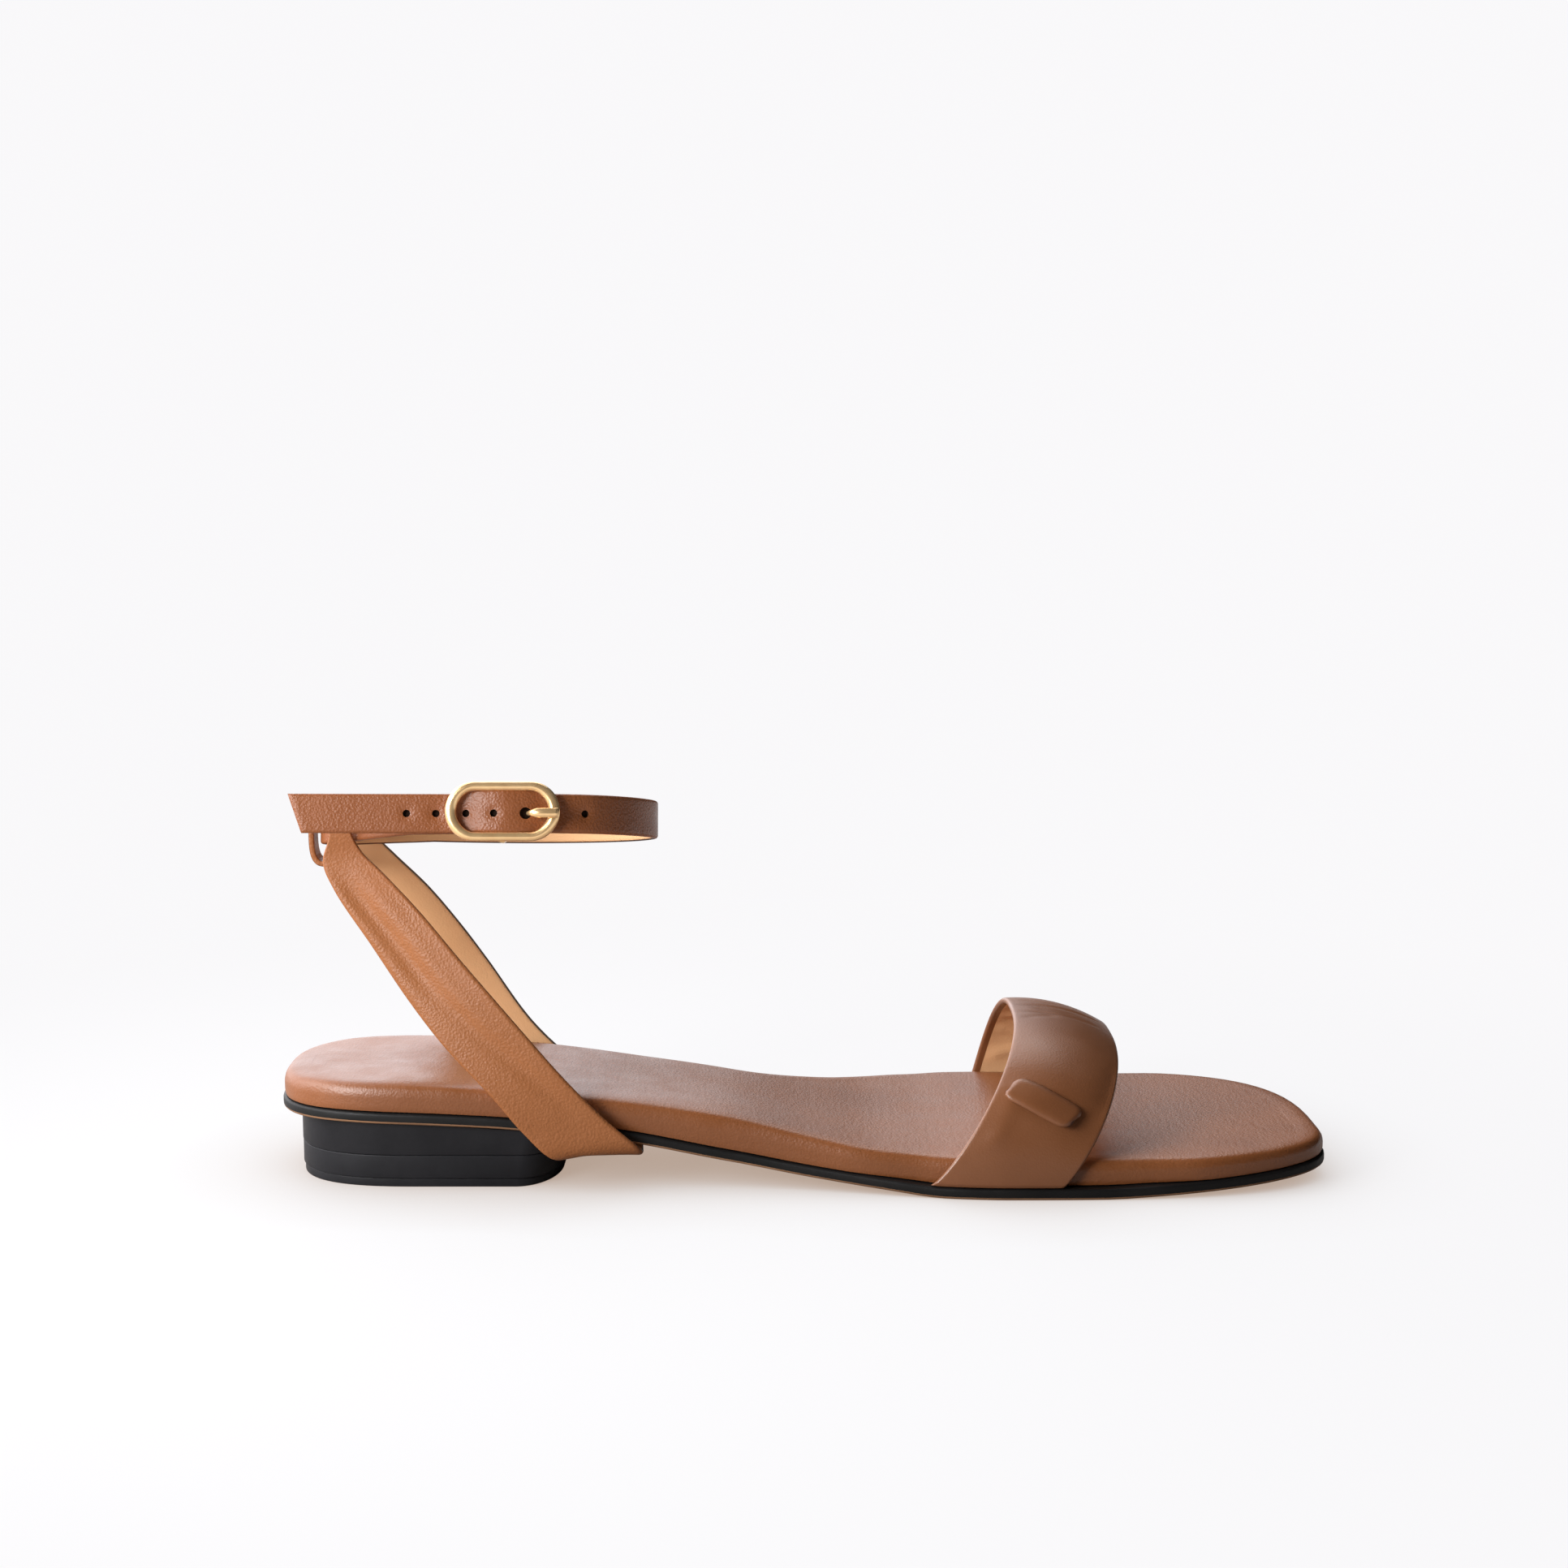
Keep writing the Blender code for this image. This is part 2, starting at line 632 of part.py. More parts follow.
def make_band_tab():
    """Short slanted bar, laid on the band by the band's own function."""
    centre = band_point(TAB_AROUND, TAB_ALONG)
    per_around = (band_point(TAB_AROUND + TAB_PROBE, TAB_ALONG) - centre).length / TAB_PROBE
    per_along = (band_point(TAB_AROUND, TAB_ALONG + TAB_PROBE) - centre).length / TAB_PROBE
    lift = BAND_THICK / 2 + GAP + TAB_THICK / 2
    rows = []
    for i in range(TAB_STEPS + 1):
        reach = TAB_LENGTH * (i / TAB_STEPS - 0.5)
        row = []
        for k in range(TAB_COLUMNS):
            width = TAB_WIDTH * (k / (TAB_COLUMNS - 1) - 0.5) * tab_taper(i / TAB_STEPS)
            fore = reach * math.cos(TAB_SLANT) + width * math.sin(TAB_SLANT)
            up = width * math.cos(TAB_SLANT) - reach * math.sin(TAB_SLANT)
            row.append(band_point(TAB_AROUND + up / per_around, TAB_ALONG + fore / per_along, lift))
        rows.append(row)
    tab = add_part("band_tab", grid_mesh("band_tab", rows), BROWN_LEATHER)
    solidify(tab, TAB_THICK)


def tab_taper(share):
    """Rounded ends of the bar."""
    end = 2 * abs(share - 0.5)
    into_end = max(0.0, end - 1.0 + TAB_END_SHARE) / TAB_END_SHARE
    return TAB_END_WIDTH + (1.0 - TAB_END_WIDTH) * superellipse(into_end, 2.0)


# Heel sling


def sling_rows():
    """Rows across the sling, from the neck of one arm under the sole to the neck of the other."""
    rear = smooth_path(both_arms("rear_x", "rear_z"), SLING_STEPS)
    front = smooth_path(both_arms("front_x", "front_z"), SLING_STEPS)
    rows = []
    for a, b in zip(rear, front):
        rows.append([a.lerp(b, k / (SLING_COLUMNS - 1)) for k in range(SLING_COLUMNS)])
    return rows


def both_arms(x_column, z_column):
    """One edge of the sling: down the near arm, under the sole and up the far arm."""
    near, far = [], []
    for rung in SLING_RUNGS:
        x, z = getattr(rung, x_column), getattr(rung, z_column)
        near.append(Vector((x, rung.y, z)))
        far.append(Vector((x + rung.far_shift, 2 * SOLE_AXIS_Y - rung.y, z)))
    return near[::-1] + far[1:]


def loop_half_width(x, z):
    """The loop is wide in front under the strap, where it meets the arms, and narrow elsewhere."""
    forward = min(max((x - SADDLE_X) / SADDLE_FADE, 0.0), 1.0)
    low = min(max((SADDLE_Z - z) / SADDLE_FADE + 1.0, 0.0), 1.0)
    return LOOP_HALF_WIDTH + (SADDLE_HALF_WIDTH - LOOP_HALF_WIDTH) * forward * low


def loop_rows():
    rows = []
    power = 2.0 / LOOP_ROUNDNESS
    for i in range(LOOP_STEPS):
        angle = 2 * math.pi * i / LOOP_STEPS
        c, s = math.cos(angle), math.sin(angle)
        x = LOOP_X + LOOP_HALF_X * math.copysign(abs(c) ** power, c)
        z = LOOP_Z + LOOP_HALF_Z * math.copysign(abs(s) ** power, s)
        half = loop_half_width(x, z)
        rows.append([Vector((x, SOLE_AXIS_Y + half * k, z)) for k in (-1.0, 0.0, 1.0)])
    return rows


def make_heel_sling():
    loop = add_cutter("sling_loop", grid_mesh("sling_loop", loop_rows(), closed=True))
    solidify(loop, LOOP_THICK)
    sling = add_part("heel_sling", grid_mesh("heel_sling", sling_rows()), BROWN_LEATHER)
    solidify(sling, SLING_THICK)
    boolean(sling, loop, "UNION")


# Ankle strap and buckle


def on_tilt(x, y, up, dip=0.0):
    """Point of the tilted strap plane, with its height measured across the strap."""
    level = STRAP_LEVEL_Z - math.tan(STRAP_TILT) * (y - SOLE_AXIS_Y) - dip
    return Vector((x, y + up * math.sin(STRAP_TILT), level + up * math.cos(STRAP_TILT)))


def strap_line():
    return smooth_path([Vector((s.x, s.y, 0.0)) for s in STRAP_ROUTE], STRAP_STEPS)


def outer_run_start(line):
    return int(len(line) * OUTER_RUN_SHARE)


def strap_rows():
    line = strap_line()
    step = (line[1] - line[0]).length
    rows = []
    outer_start = outer_run_start(line)
    for i, p in enumerate(line):
        to_end = (len(line) - 1 - i) * step
        pull = max(0.0, 1.0 - to_end / END_SLANT_REACH)
        along = (line[min(i + 1, len(line) - 1)] - line[max(i - 1, 0)]).normalized()
        inner = 1.0 if i < outer_start else 0.0
        dip = STRAP_DIP * inner * min(max((STRAP_DIP_X - p.x) / STRAP_DIP_REACH, 0.0), 1.0)
        row = []
        for share in STRAP_COLUMNS:
            q = p - along * (END_SLANT * pull * (0.5 - share))
            row.append(on_tilt(q.x, q.y, STRAP_WIDTH * share, dip))
        rows.append(row)
    return rows


def strap_hole_places():
    """Where the holes lie on the strap: a row at an even pitch, set by the prong's hole."""
    line = strap_line()
    step = (line[1] - line[0]).length
    outer = range(outer_run_start(line), len(line))
    prong_index = min(outer, key=lambda i: abs(line[i].x - PRONG_HOLE_X))
    places = []
    for k in range(HOLE_COUNT):
        index = prong_index + round((PRONG_HOLE_PLACE - k) * HOLE_PITCH / step)
        along = (line[index + 1] - line[index - 1]).normalized()
        places.append((line[index], along))
    return places


def make_hole_cutters(strap):
    for k, (place, along) in enumerate(strap_hole_places()):
        radius = PRONG_HOLE_RADIUS if k == PRONG_HOLE_PLACE else HOLE_RADIUS
        work = bmesh.new()
        bmesh.ops.create_cone(work, cap_ends=True, segments=HOLE_SIDES, radius1=radius * MM,
                              radius2=radius * MM, depth=HOLE_DEPTH * MM)
        mesh = bpy.data.meshes.new(f"hole_{k}")
        work.to_mesh(mesh)
        work.free()
        cutter = add_cutter(f"strap_hole_{k}", mesh)
        out = Vector((along.y, -along.x, 0.0)).normalized()
        out = Vector((out.x, out.y, -math.tan(STRAP_TILT) * out.y)).normalized()
        cutter.location = on_tilt(place.x, place.y, 0.0) * MM
        cutter.rotation_mode = "QUATERNION"
        cutter.rotation_quaternion = Vector((0.0, 0.0, 1.0)).rotation_difference(out)
        boolean(strap, cutter, "DIFFERENCE")


def make_slot_cutter(strap):
    """Slot in the fold round the bar, which leaves room for the prong's eye."""
    work = bmesh.new()
    bmesh.ops.create_cube(work, size=1.0)
    reach = FOLD_RADIUS + STRAP_THICK
    size = Vector((SLOT_LENGTH, 2 * reach - GAP, 2 * SLOT_HALF_WIDTH)) * MM
    bmesh.ops.scale(work, vec=size, verts=work.verts)
    mesh = bpy.data.meshes.new("fold_slot")
    work.to_mesh(mesh)
    work.free()
    cutter = add_cutter("fold_slot", mesh)
    cutter.location = on_tilt(BAR_X, BAR_Y + SLOT_SHIFT, 0.0) * MM
    cutter.rotation_euler = (-STRAP_TILT, 0.0, 0.0)
    boolean(strap, cutter, "DIFFERENCE")


def make_ankle_strap():
    strap = add_part("ankle_strap", grid_mesh("ankle_strap", strap_rows()), BROWN_LEATHER)
    solidify(strap, STRAP_THICK)
    make_hole_cutters(strap)
    make_slot_cutter(strap)


def frame_line():
    """Middle line of the buckle's oblong frame: two half rounds joined by straight sides."""
    radius = FRAME_HEIGHT / 2 - FRAME_RADIUS
    half_straight = FRAME_LENGTH / 2 - FRAME_RADIUS - radius
    line = []
    for side in (1, -1):
        for i in range(FRAME_ARC_STEPS + 1):
            angle = math.pi * (i / FRAME_ARC_STEPS - 0.5)
            x = BAR_X + side * (half_straight + radius * math.cos(angle))
            line.append(on_tilt(x, FRAME_Y, side * radius * math.sin(angle)))
    return line


def bar_line():
    """The hidden bar: down from one side of the frame, under the strap and up to the other."""
    reach = FRAME_HEIGHT / 2 - FRAME_RADIUS
    upper = [on_tilt(BAR_X, bend.y, reach - bend.inward) for bend in BAR_BENDS]
    lower = [on_tilt(BAR_X, bend.y, bend.inward - reach) for bend in BAR_BENDS[::-1]]
    return upper + lower


def make_buckle_frame():
    bar = add_cutter("buckle_bar", tube_mesh("buckle_bar", bar_line(), BAR_RADIUS, resolution=2))
    frame = add_part("buckle_frame", tube_mesh("buckle_frame", frame_line(), FRAME_RADIUS, closed=True),
                     GOLD_METAL)
    boolean(frame, bar, "UNION")


def make_buckle_prong():
    """Wire with an open eye round the bar, through its hole and over the end of the frame."""
    line = []
    for i in range(PRONG_EYE_STEPS):
        angle = PRONG_EYE_START + PRONG_EYE_TURN * i / PRONG_EYE_STEPS
        x = BAR_X - PRONG_EYE_RADIUS * math.cos(angle)
        y = BAR_Y - PRONG_EYE_RADIUS * math.sin(angle)
        line.append(Vector((x, y, 0.0)))
    line += [Vector((spot.x, spot.y, 0.0)) for spot in PRONG_ROUTE]
    points = smooth_path(line, PRONG_STEPS)
    wire = [on_tilt(p.x, p.y, 0.0) for p in points]
    add_part("buckle_prong", tube_mesh("buckle_prong", wire, PRONG_RADIUS, resolution=2), GOLD_METAL)


def centre_on_floor():
    """Move the root so that the sandal stands on the floor, with the middle of its box at the origin."""
    bpy.context.view_layer.update()
    graph = bpy.context.evaluated_depsgraph_get()
    corners = []
    for part in parts.objects:
        if part.type == "MESH":
            corners += [part.matrix_world @ Vector(c) for c in part.evaluated_get(graph).bound_box]
    for axis in (0, 1):
        values = [c[axis] for c in corners]
        root.location[axis] = -(min(values) + max(values)) / 2
    bpy.context.view_layer.update()


for old in list(bpy.data.objects):
    bpy.data.objects.remove(old)
parts = new_collection(OBJECT_NAME)
cutters = new_collection(OBJECT_NAME + "_cutters")
root = bpy.data.objects.new(OBJECT_NAME + "_root", None)
parts.objects.link(root)

make_outsole()
make_footbed()
make_heel()
make_toe_band()
make_band_tab()
make_heel_sling()
make_ankle_strap()
make_buckle_frame()
make_buckle_prong()
centre_on_floor()
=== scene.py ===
"""Looks of the flat sandal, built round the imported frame: leather, lining, sole, heel, buckle and stage.

Sizes are in millimetres, in the same place as the frame's solids, and become metres where a mesh is made.
X runs from the back of the heel to the toe, Y from the outer side to the inner side, Z up from the floor.
"""
import math
from collections import namedtuple

import bmesh
import bpy
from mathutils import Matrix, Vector


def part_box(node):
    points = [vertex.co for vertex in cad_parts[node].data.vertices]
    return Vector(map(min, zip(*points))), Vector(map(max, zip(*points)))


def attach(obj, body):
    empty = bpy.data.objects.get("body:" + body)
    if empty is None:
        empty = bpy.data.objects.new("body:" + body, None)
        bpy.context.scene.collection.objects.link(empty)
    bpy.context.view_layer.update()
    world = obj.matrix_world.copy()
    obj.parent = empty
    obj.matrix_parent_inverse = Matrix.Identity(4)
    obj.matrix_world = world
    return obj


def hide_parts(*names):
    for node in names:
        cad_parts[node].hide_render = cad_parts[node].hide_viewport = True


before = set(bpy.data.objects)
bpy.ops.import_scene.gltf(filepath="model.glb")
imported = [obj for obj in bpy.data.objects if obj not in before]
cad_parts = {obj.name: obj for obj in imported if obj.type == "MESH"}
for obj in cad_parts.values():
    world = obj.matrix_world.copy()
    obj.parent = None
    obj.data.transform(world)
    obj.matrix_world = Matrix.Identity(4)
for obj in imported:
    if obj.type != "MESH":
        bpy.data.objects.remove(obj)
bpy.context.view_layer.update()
scene = bpy.context.scene

MM = 0.001
BODY = "root"
GAP = 0.3                      # room between pieces that meet
CURVE_STEPS = 16               # points between two given ones, before a curve is spaced evenly
SHARP_ANGLE = math.radians(40)
ELLIPSE = 2.0                  # roundness of a plain ellipse

# Sole: plan
SOLE_LENGTH = 249.5
SOLE_AXIS_Y = -8.5             # middle of the heel, and of the straps above it
SOLE_NEAR_Y = -43.5
HEEL_WIDE_X = 35.0
BALL_X = 172.0
TOE_TIP_Y = -17.0
HEEL_ROUNDNESS = 2.7           # exponent of the superellipse at each end
TOE_ROUNDNESS_NEAR = 2.7
TOE_ROUNDNESS_FAR = 3.0
END_STEPS = 26                 # points along each rounded end and along each side
SIDE_STEPS = 56

Side = namedtuple("Side", "x near far")
SIDES = (
    Side(35, -35.0, 18.0),
    Side(62, -34.2, 17.4),
    Side(88, -32.8, 16.0),
    Side(108, -33.2, 16.0),
    Side(128, -36.0, 24.5),
    Side(150, -40.6, 41.0),
    Side(162, -42.8, 45.2),
    Side(172, -43.5, 46.0),
    Side(180, -43.5, 46.0),
)

# Sole: heights of the outsole's underside and of the footbed's top
Level = namedtuple("Level", "x bottom top")
LEVELS = (
    Level(0, 15.9, 24.8),
    Level(14, 15.9, 25.2),
    Level(30, 15.6, 25.1),
    Level(51, 14.6, 23.9),
    Level(68, 12.9, 22.4),
    Level(85, 10.5, 20.3),
    Level(106, 6.5, 17.2),
    Level(128, 3.0, 12.7),
    Level(144, 1.2, 10.1),
    Level(158, 0.0, 9.2),
    Level(194, 0.0, 8.9),
    Level(207, 0.5, 9.0),
    Level(224, 1.5, 9.6),
    Level(249.5, 3.5, 10.8),
)
OUTSOLE_THICK = 2.6

# Rings up the outsole's edge: distance in, height, and whether the face above the ring is the tan line
EdgeRing = namedtuple("EdgeRing", "inset lift tan")
OUTSOLE_RINGS = (
    EdgeRing(0.85, 0.0, True),
    EdgeRing(0.4, 0.06, True),
    EdgeRing(0.16, 0.26, True),
    EdgeRing(0.07, 0.4, True),
    EdgeRing(0.03, 0.62, False),
    EdgeRing(0.0, 0.85, False),
    EdgeRing(0.0, 1.9, False),
    EdgeRing(0.08, 2.2, False),
    EdgeRing(0.24, 2.42, False),
    EdgeRing(0.55, 2.55, False),
    EdgeRing(1.1, 2.6, False),
)

# Footbed: distance in from the outsole's edge, and share of its height
Ring = namedtuple("Ring", "x inset share")
FOOTBED_RINGS = (
    Ring(0, 2.6, 0.0),
    Ring(1, 2.4, 0.18),
    Ring(2, 2.4, 0.48),
    Ring(3, 2.7, 0.72),
    Ring(4, 3.4, 0.895),
    Ring(5, 4.6, 0.975),
    Ring(6, 6.6, 1.0),
    Ring(7, 8.6, 1.0),
)
FOOTBED_RING_STEPS = 26
FOOTBED_RELIEF = 2.0           # the footbed's wall stands this much further out, away from the band
BAND_RECESS_START = 134.0      # there it makes room for the band
BAND_RECESS_END = 221.0
BAND_RECESS_FADE = 19.0
FOOTBED_TOP_STEPS = 14
FOOTBED_DISH = 0.4             # hollow of the top, half way across
FOOTBED_DISH_FADE = 60.0       # distance from the two ends over which it grows

# Heel: three layers, from the outsole down
HEEL_BACK_X = 4.4
HEEL_FRONT_X = 69.6
HEEL_NEAR_Y = -32.9
HEEL_FAR_Y = 15.9
HEEL_CORNER = 10.0             # how far back the breast's rounded corners start
HEEL_CORNER_REACH = 17.0       # and how far in from the sides they end
HEEL_UNDERCUT = 1.6            # how far the breast leans back from top to floor
Layer = namedtuple("Layer", "name floor roof inset")
HEEL_LAYERS = (
    Layer("heel_block", 7.68, None, 0.0),
    Layer("heel_lift", 2.08, 7.62, 0.1),
    Layer("heel_top_piece", 0.0, 2.02, 0.45),
)
HEEL_ROUND = 0.22
HEEL_ROUND_STEPS = 4

# Toe band: its rear and front edges as arches over the foot
BAND_THICK = 1.5
BAND_LENGTH = 28.0             # from edge to edge, near enough for its rounded edges
BAND_FOOT = 0.05               # clear of the outsole's edge, on the inside
BAND_CROWN = 2.0               # bulge half way between its edges
BAND_CROWN_REACH = 1.6         # how soon the bulge is full, going up from the feet
BAND_CROWDING = 0.55           # how much closer the steps are at the feet
BAND_NUDGE = 0.004             # small step on the surface, to find its outward direction
BAND_STEPS_AROUND = 320
BAND_STEPS_ALONG = 44
Arch = namedtuple("Arch", "near_x top_x far_x top_y rise roundness")
BAND_REAR = Arch(154.5, 176.2, 168.6, 1.0, 34.6, 2.4)
BAND_FRONT = Arch(185.0, 201.0, 197.5, 2.0, 28.0, 2.45)
BAND_LEAN = 0.85               # how early the band leans forward as it climbs

# Bar tab on the near side of the band, in shares of the band's own surface
TAB_THICK = 1.7
TAB_LENGTH = 18.6
TAB_WIDTH = 6.5
TAB_MARGIN = 0.24              # share of its width that each rounded edge takes
TAB_AROUND = 0.18
TAB_ALONG = 0.43
TAB_SLANT = math.radians(21)
TAB_STEPS = 44
TAB_COLUMNS = 18
TAB_END_SHARE = 0.3            # share of each half that is rounded off
TAB_END_WIDTH = 0.55           # width left at the very ends
TAB_STAND = 1.5                # how much further the lower edge stands off the band
TAB_PROBE = 0.01               # small share of the band, to measure its size there

# Heel sling: edges of one arm, from the middle of the underside up to the neck
SLING_THICK = 1.5
SLING_WIDTH = 14.0             # near enough for its rounded edges
SLING_STEPS = 420
SLING_COLUMNS = 26
Rung = namedtuple("Rung", "y rear_x rear_z front_x front_z far_shift")
SLING_RUNGS = (
    Rung(-8.5, 70.6, 11.3, 87.2, 8.9, 0.0),
    Rung(-18.0, 70.6, 11.3, 87.2, 8.9, 0.0),
    Rung(-27.0, 70.4, 10.6, 87.3, 8.8, 0.0),
    Rung(-33.6, 69.2, 8.2, 87.6, 8.8, -1.4),
    Rung(-36.6, 66.2, 8.3, 86.9, 10.6, -5.0),
    Rung(-36.9, 59.8, 14.3, 78.9, 17.6, -11.2),
    Rung(-36.2, 52.8, 22.4, 69.4, 27.2, -12.0),
    Rung(-32.8, 41.4, 33.8, 53.7, 44.5, -7.6),
    Rung(-29.2, 33.2, 43.4, 44.9, 53.8, -4.6),
    Rung(-25.0, 23.8, 56.1, 35.1, 64.4, -2.3),
    Rung(-21.4, 14.8, 68.5, 26.3, 72.8, -0.9),
    Rung(-20.0, 12.0, 75.0, 21.2, 77.6, 0.0),
    Rung(-20.0, 13.6, 81.2, 18.9, 81.9, 0.0),
    Rung(-20.0, 13.8, 85.6, 18.2, 85.8, 0.0),
)

# Loop of the sling round the back of the ankle strap
LOOP_X = 11.2
LOOP_Z = 80.6
LOOP_HALF_X = 3.5
LOOP_HALF_Z = 7.5
LOOP_ROUNDNESS = 3.2
LOOP_THICK = 1.3
LOOP_HALF_WIDTH = 3.0          # beside the strap
SADDLE_HALF_WIDTH = 11.6       # in front, under the strap, where it meets the arms
SADDLE_X = 11.4
SADDLE_Z = 74.6
SADDLE_FADE = 1.4
LOOP_STEPS = 96
LOOP_COLUMNS = 10

# Ankle strap: its middle line in plan, lying on a tilted plane
STRAP_THICK = 1.5
STRAP_WIDTH = 9.0
STRAP_LEVEL_Z = 83.4           # height of the tilted plane above the sole's axis
STRAP_TILT = math.radians(11.3)
STRAP_DIP = 1.4                # the strap sinks this much towards the loop at the back
STRAP_DIP_X = 34.0
STRAP_DIP_REACH = 20.0
STRAP_STEPS = 640
STRAP_COLUMNS = 16
OUTER_RUN_SHARE = 2 / 3        # from here on the strap is the outer run, up to the free end
END_SLANT = 3.2                # how far the free end's upper corner runs past the lower one
END_SLANT_REACH = 18.0
STRAP_SWELL = 0.95             # the strap spreads upwards to fill the buckle
STRAP_SWELL_REACH = 11.0
STRAP_SWELL_ROUNDNESS = 3.5
BAR_X = 56.6
BAR_Y = -35.4
BAR_RADIUS = 0.9
FOLD_RADIUS = BAR_RADIUS + GAP + STRAP_THICK / 2
Spot = namedtuple("Spot", "x y")
STRAP_ROUTE = (
    Spot(BAR_X - 1.2, BAR_Y - FOLD_RADIUS * 0.82),
    Spot(BAR_X + 0.6, BAR_Y - FOLD_RADIUS * 0.96),
    Spot(BAR_X + FOLD_RADIUS, BAR_Y),
    Spot(BAR_X + 0.6, BAR_Y + FOLD_RADIUS * 0.96),
    Spot(BAR_X - 3.0, BAR_Y + FOLD_RADIUS * 1.02),
    Spot(44.0, -32.4),
    Spot(32.0, -27.2),
    Spot(20.5, -18.0),
    Spot(13.4, -13.9),
    Spot(10.4, -8.5),
    Spot(13.4, -3.1),
    Spot(20.5, 1.0),
    Spot(32.0, 9.8),
    Spot(44.0, 16.6),
    Spot(57.0, 19.8),
    Spot(72.0, 16.6),
    Spot(84.0, 7.0),
    Spot(89.6, -8.5),
    Spot(85.0, -24.0),
    Spot(77.0, -33.2),
    Spot(69.6, -36.6),
    Spot(65.2, -37.2),
    Spot(61.0, -38.4),
    Spot(56.6, -38.95),
    Spot(52.2, -38.4),
    Spot(48.0, -37.2),
    Spot(43.6, -36.8),
    Spot(36.0, -37.1),
    Spot(22.0, -37.6),
    Spot(7.6, -38.1),
)

# Holes of the strap
HOLE_RADIUS = 0.85
PRONG_HOLE_RADIUS = 1.35       # the prong has stretched its hole
HOLE_COUNT = 7
HOLE_PITCH = 6.85
PRONG_HOLE_X = 61.8
PRONG_HOLE_PLACE = 4           # counted from the free end, the first hole being 0
HOLE_SIDES = 28
HOLE_FLOOR = 0.35              # leather left at the bottom of a hole; it and the hole's walls take a near-black painted shade, so that the hole looks dark
HOLE_DIMPLE = 0.3              # the leather sinks this much round each hole
HOLE_DIMPLE_REACH = 1.5

# Buckle
FRAME_LENGTH = 26.2
FRAME_HEIGHT = 13.6
FRAME_Y = -39.2
FRAME_ARC_STEPS = 40
FRAME_STRAIGHT_STEPS = 14
FRAME_SIDE_WIDTH = 2.1         # along the strap
FRAME_END_WIDTH = 2.6          # at the two rounded ends
FRAME_HALF_DEPTH = 0.98
FRAME_RAISE = 0.4              # the oblong sits a little high on the strap
FRAME_RADIUS = 0.95            # of the wire that the bar springs from
Bend = namedtuple("Bend", "y inward")
BAR_BENDS = (
    Bend(FRAME_Y, 0.0),
    Bend(BAR_Y - 1.3, 0.0),
    Bend(BAR_Y - 0.35, 0.3),
    Bend(BAR_Y, 0.9),
)
BAR_STEPS = 60
PRONG_RADIUS = 0.65
PRONG_HALF_HEIGHT = 1.1        # the prong is a flattened wire
PRONG_NECK_HEIGHT = 0.55       # where it comes out of its hole
PRONG_WIDENING = 2.4           # length over which it widens from there
PRONG_TIP_LEFT = 0.2           # share of its thickness left at the very tip
PRONG_TIP_ROUND = 0.6          # length over which the tip is rounded
PRONG_EYE_RADIUS = BAR_RADIUS + GAP + PRONG_RADIUS
PRONG_EYE_START = math.radians(-150)
PRONG_EYE_TURN = math.radians(300)
PRONG_EYE_STEPS = 9
PRONG_STEPS = 110
PRONG_REST_Y = FRAME_Y - FRAME_RADIUS - GAP - PRONG_RADIUS
PRONG_ROUTE = (
    Spot(BAR_X + 3.0, BAR_Y - 1.2),
    Spot(PRONG_HOLE_X + 0.2, BAR_Y - 0.8),
    Spot(PRONG_HOLE_X + 0.9, BAR_Y - 3.6),
    Spot(PRONG_HOLE_X + 1.7, PRONG_REST_Y + 0.5),
    Spot(PRONG_HOLE_X + 3.2, PRONG_REST_Y),
    Spot(BAR_X + FRAME_LENGTH / 2 - 0.3, PRONG_REST_Y),
)
SLOT_HALF_WIDTH = PRONG_RADIUS + 0.5
SLOT_LENGTH = 6.4              # ends short of the prong's hole
SLOT_SHIFT = 1.6 * GAP         # keeps the slot out of the run that lies over the bar
WIRE_SIDES = 20

# Creases: soft troughs (below 0) and ridges (above 0), in millimetres along a strap and across it
Crease = namedtuple("Crease", "start_u start_v end_u end_v height width")
CREASE_FADE = 0.3              # share of a crease over which each end dies away
BAND_CREASES = (
    Crease(56.5, 1.2, 61.5, 12.0, -0.20, 1.0),
    Crease(62.5, 0.7, 64.0, 23.0, -0.42, 0.75),
    Crease(66.8, 4.0, 65.8, 17.0, -0.26, 0.6),
    Crease(69.6, 0.6, 72.8, 25.0, -0.40, 0.85),
    Crease(76.0, 2.0, 74.6, 13.0, -0.22, 0.8),
    Crease(8.0, 6.0, 30.0, 4.0, 0.25, 2.6),
    Crease(14.0, 24.0, 44.0, 26.0, -0.22, 2.8),
)
BAND_LINING_CREASES = (
    Crease(16.0, 0.9, 18.0, 14.0, 0.35, 1.4),
    Crease(93.0, 1.4, 97.0, 11.0, 0.35, 1.7),
    Crease(103.0, 1.2, 99.0, 15.0, 0.50, 1.9),
    Crease(108.0, 1.4, 112.5, 12.0, 0.38, 1.6),
    Crease(119.0, 1.2, 114.0, 14.0, 0.50, 2.0),
    Crease(125.0, 1.4, 128.0, 12.0, 0.36, 1.7),
)
SLING_CREASES = (
    Crease(10.0, 3.4, 54.0, 7.2, -0.60, 2.4),
    Crease(42.0, 6.2, 94.0, 14.2, -0.45, 2.6),
    Crease(8.0, 7.8, 72.0, 12.4, 0.30, 2.6),
    Crease(10.0, 0.8, 62.0, 3.0, 0.25, 2.0),
    Crease(98.0, 3.0, 122.0, 15.0, -0.3, 2.4),
)


# Curves through tables


def smoothstep(share):
    share = min(max(share, 0.0), 1.0)
    return share * share * (3.0 - 2.0 * share)


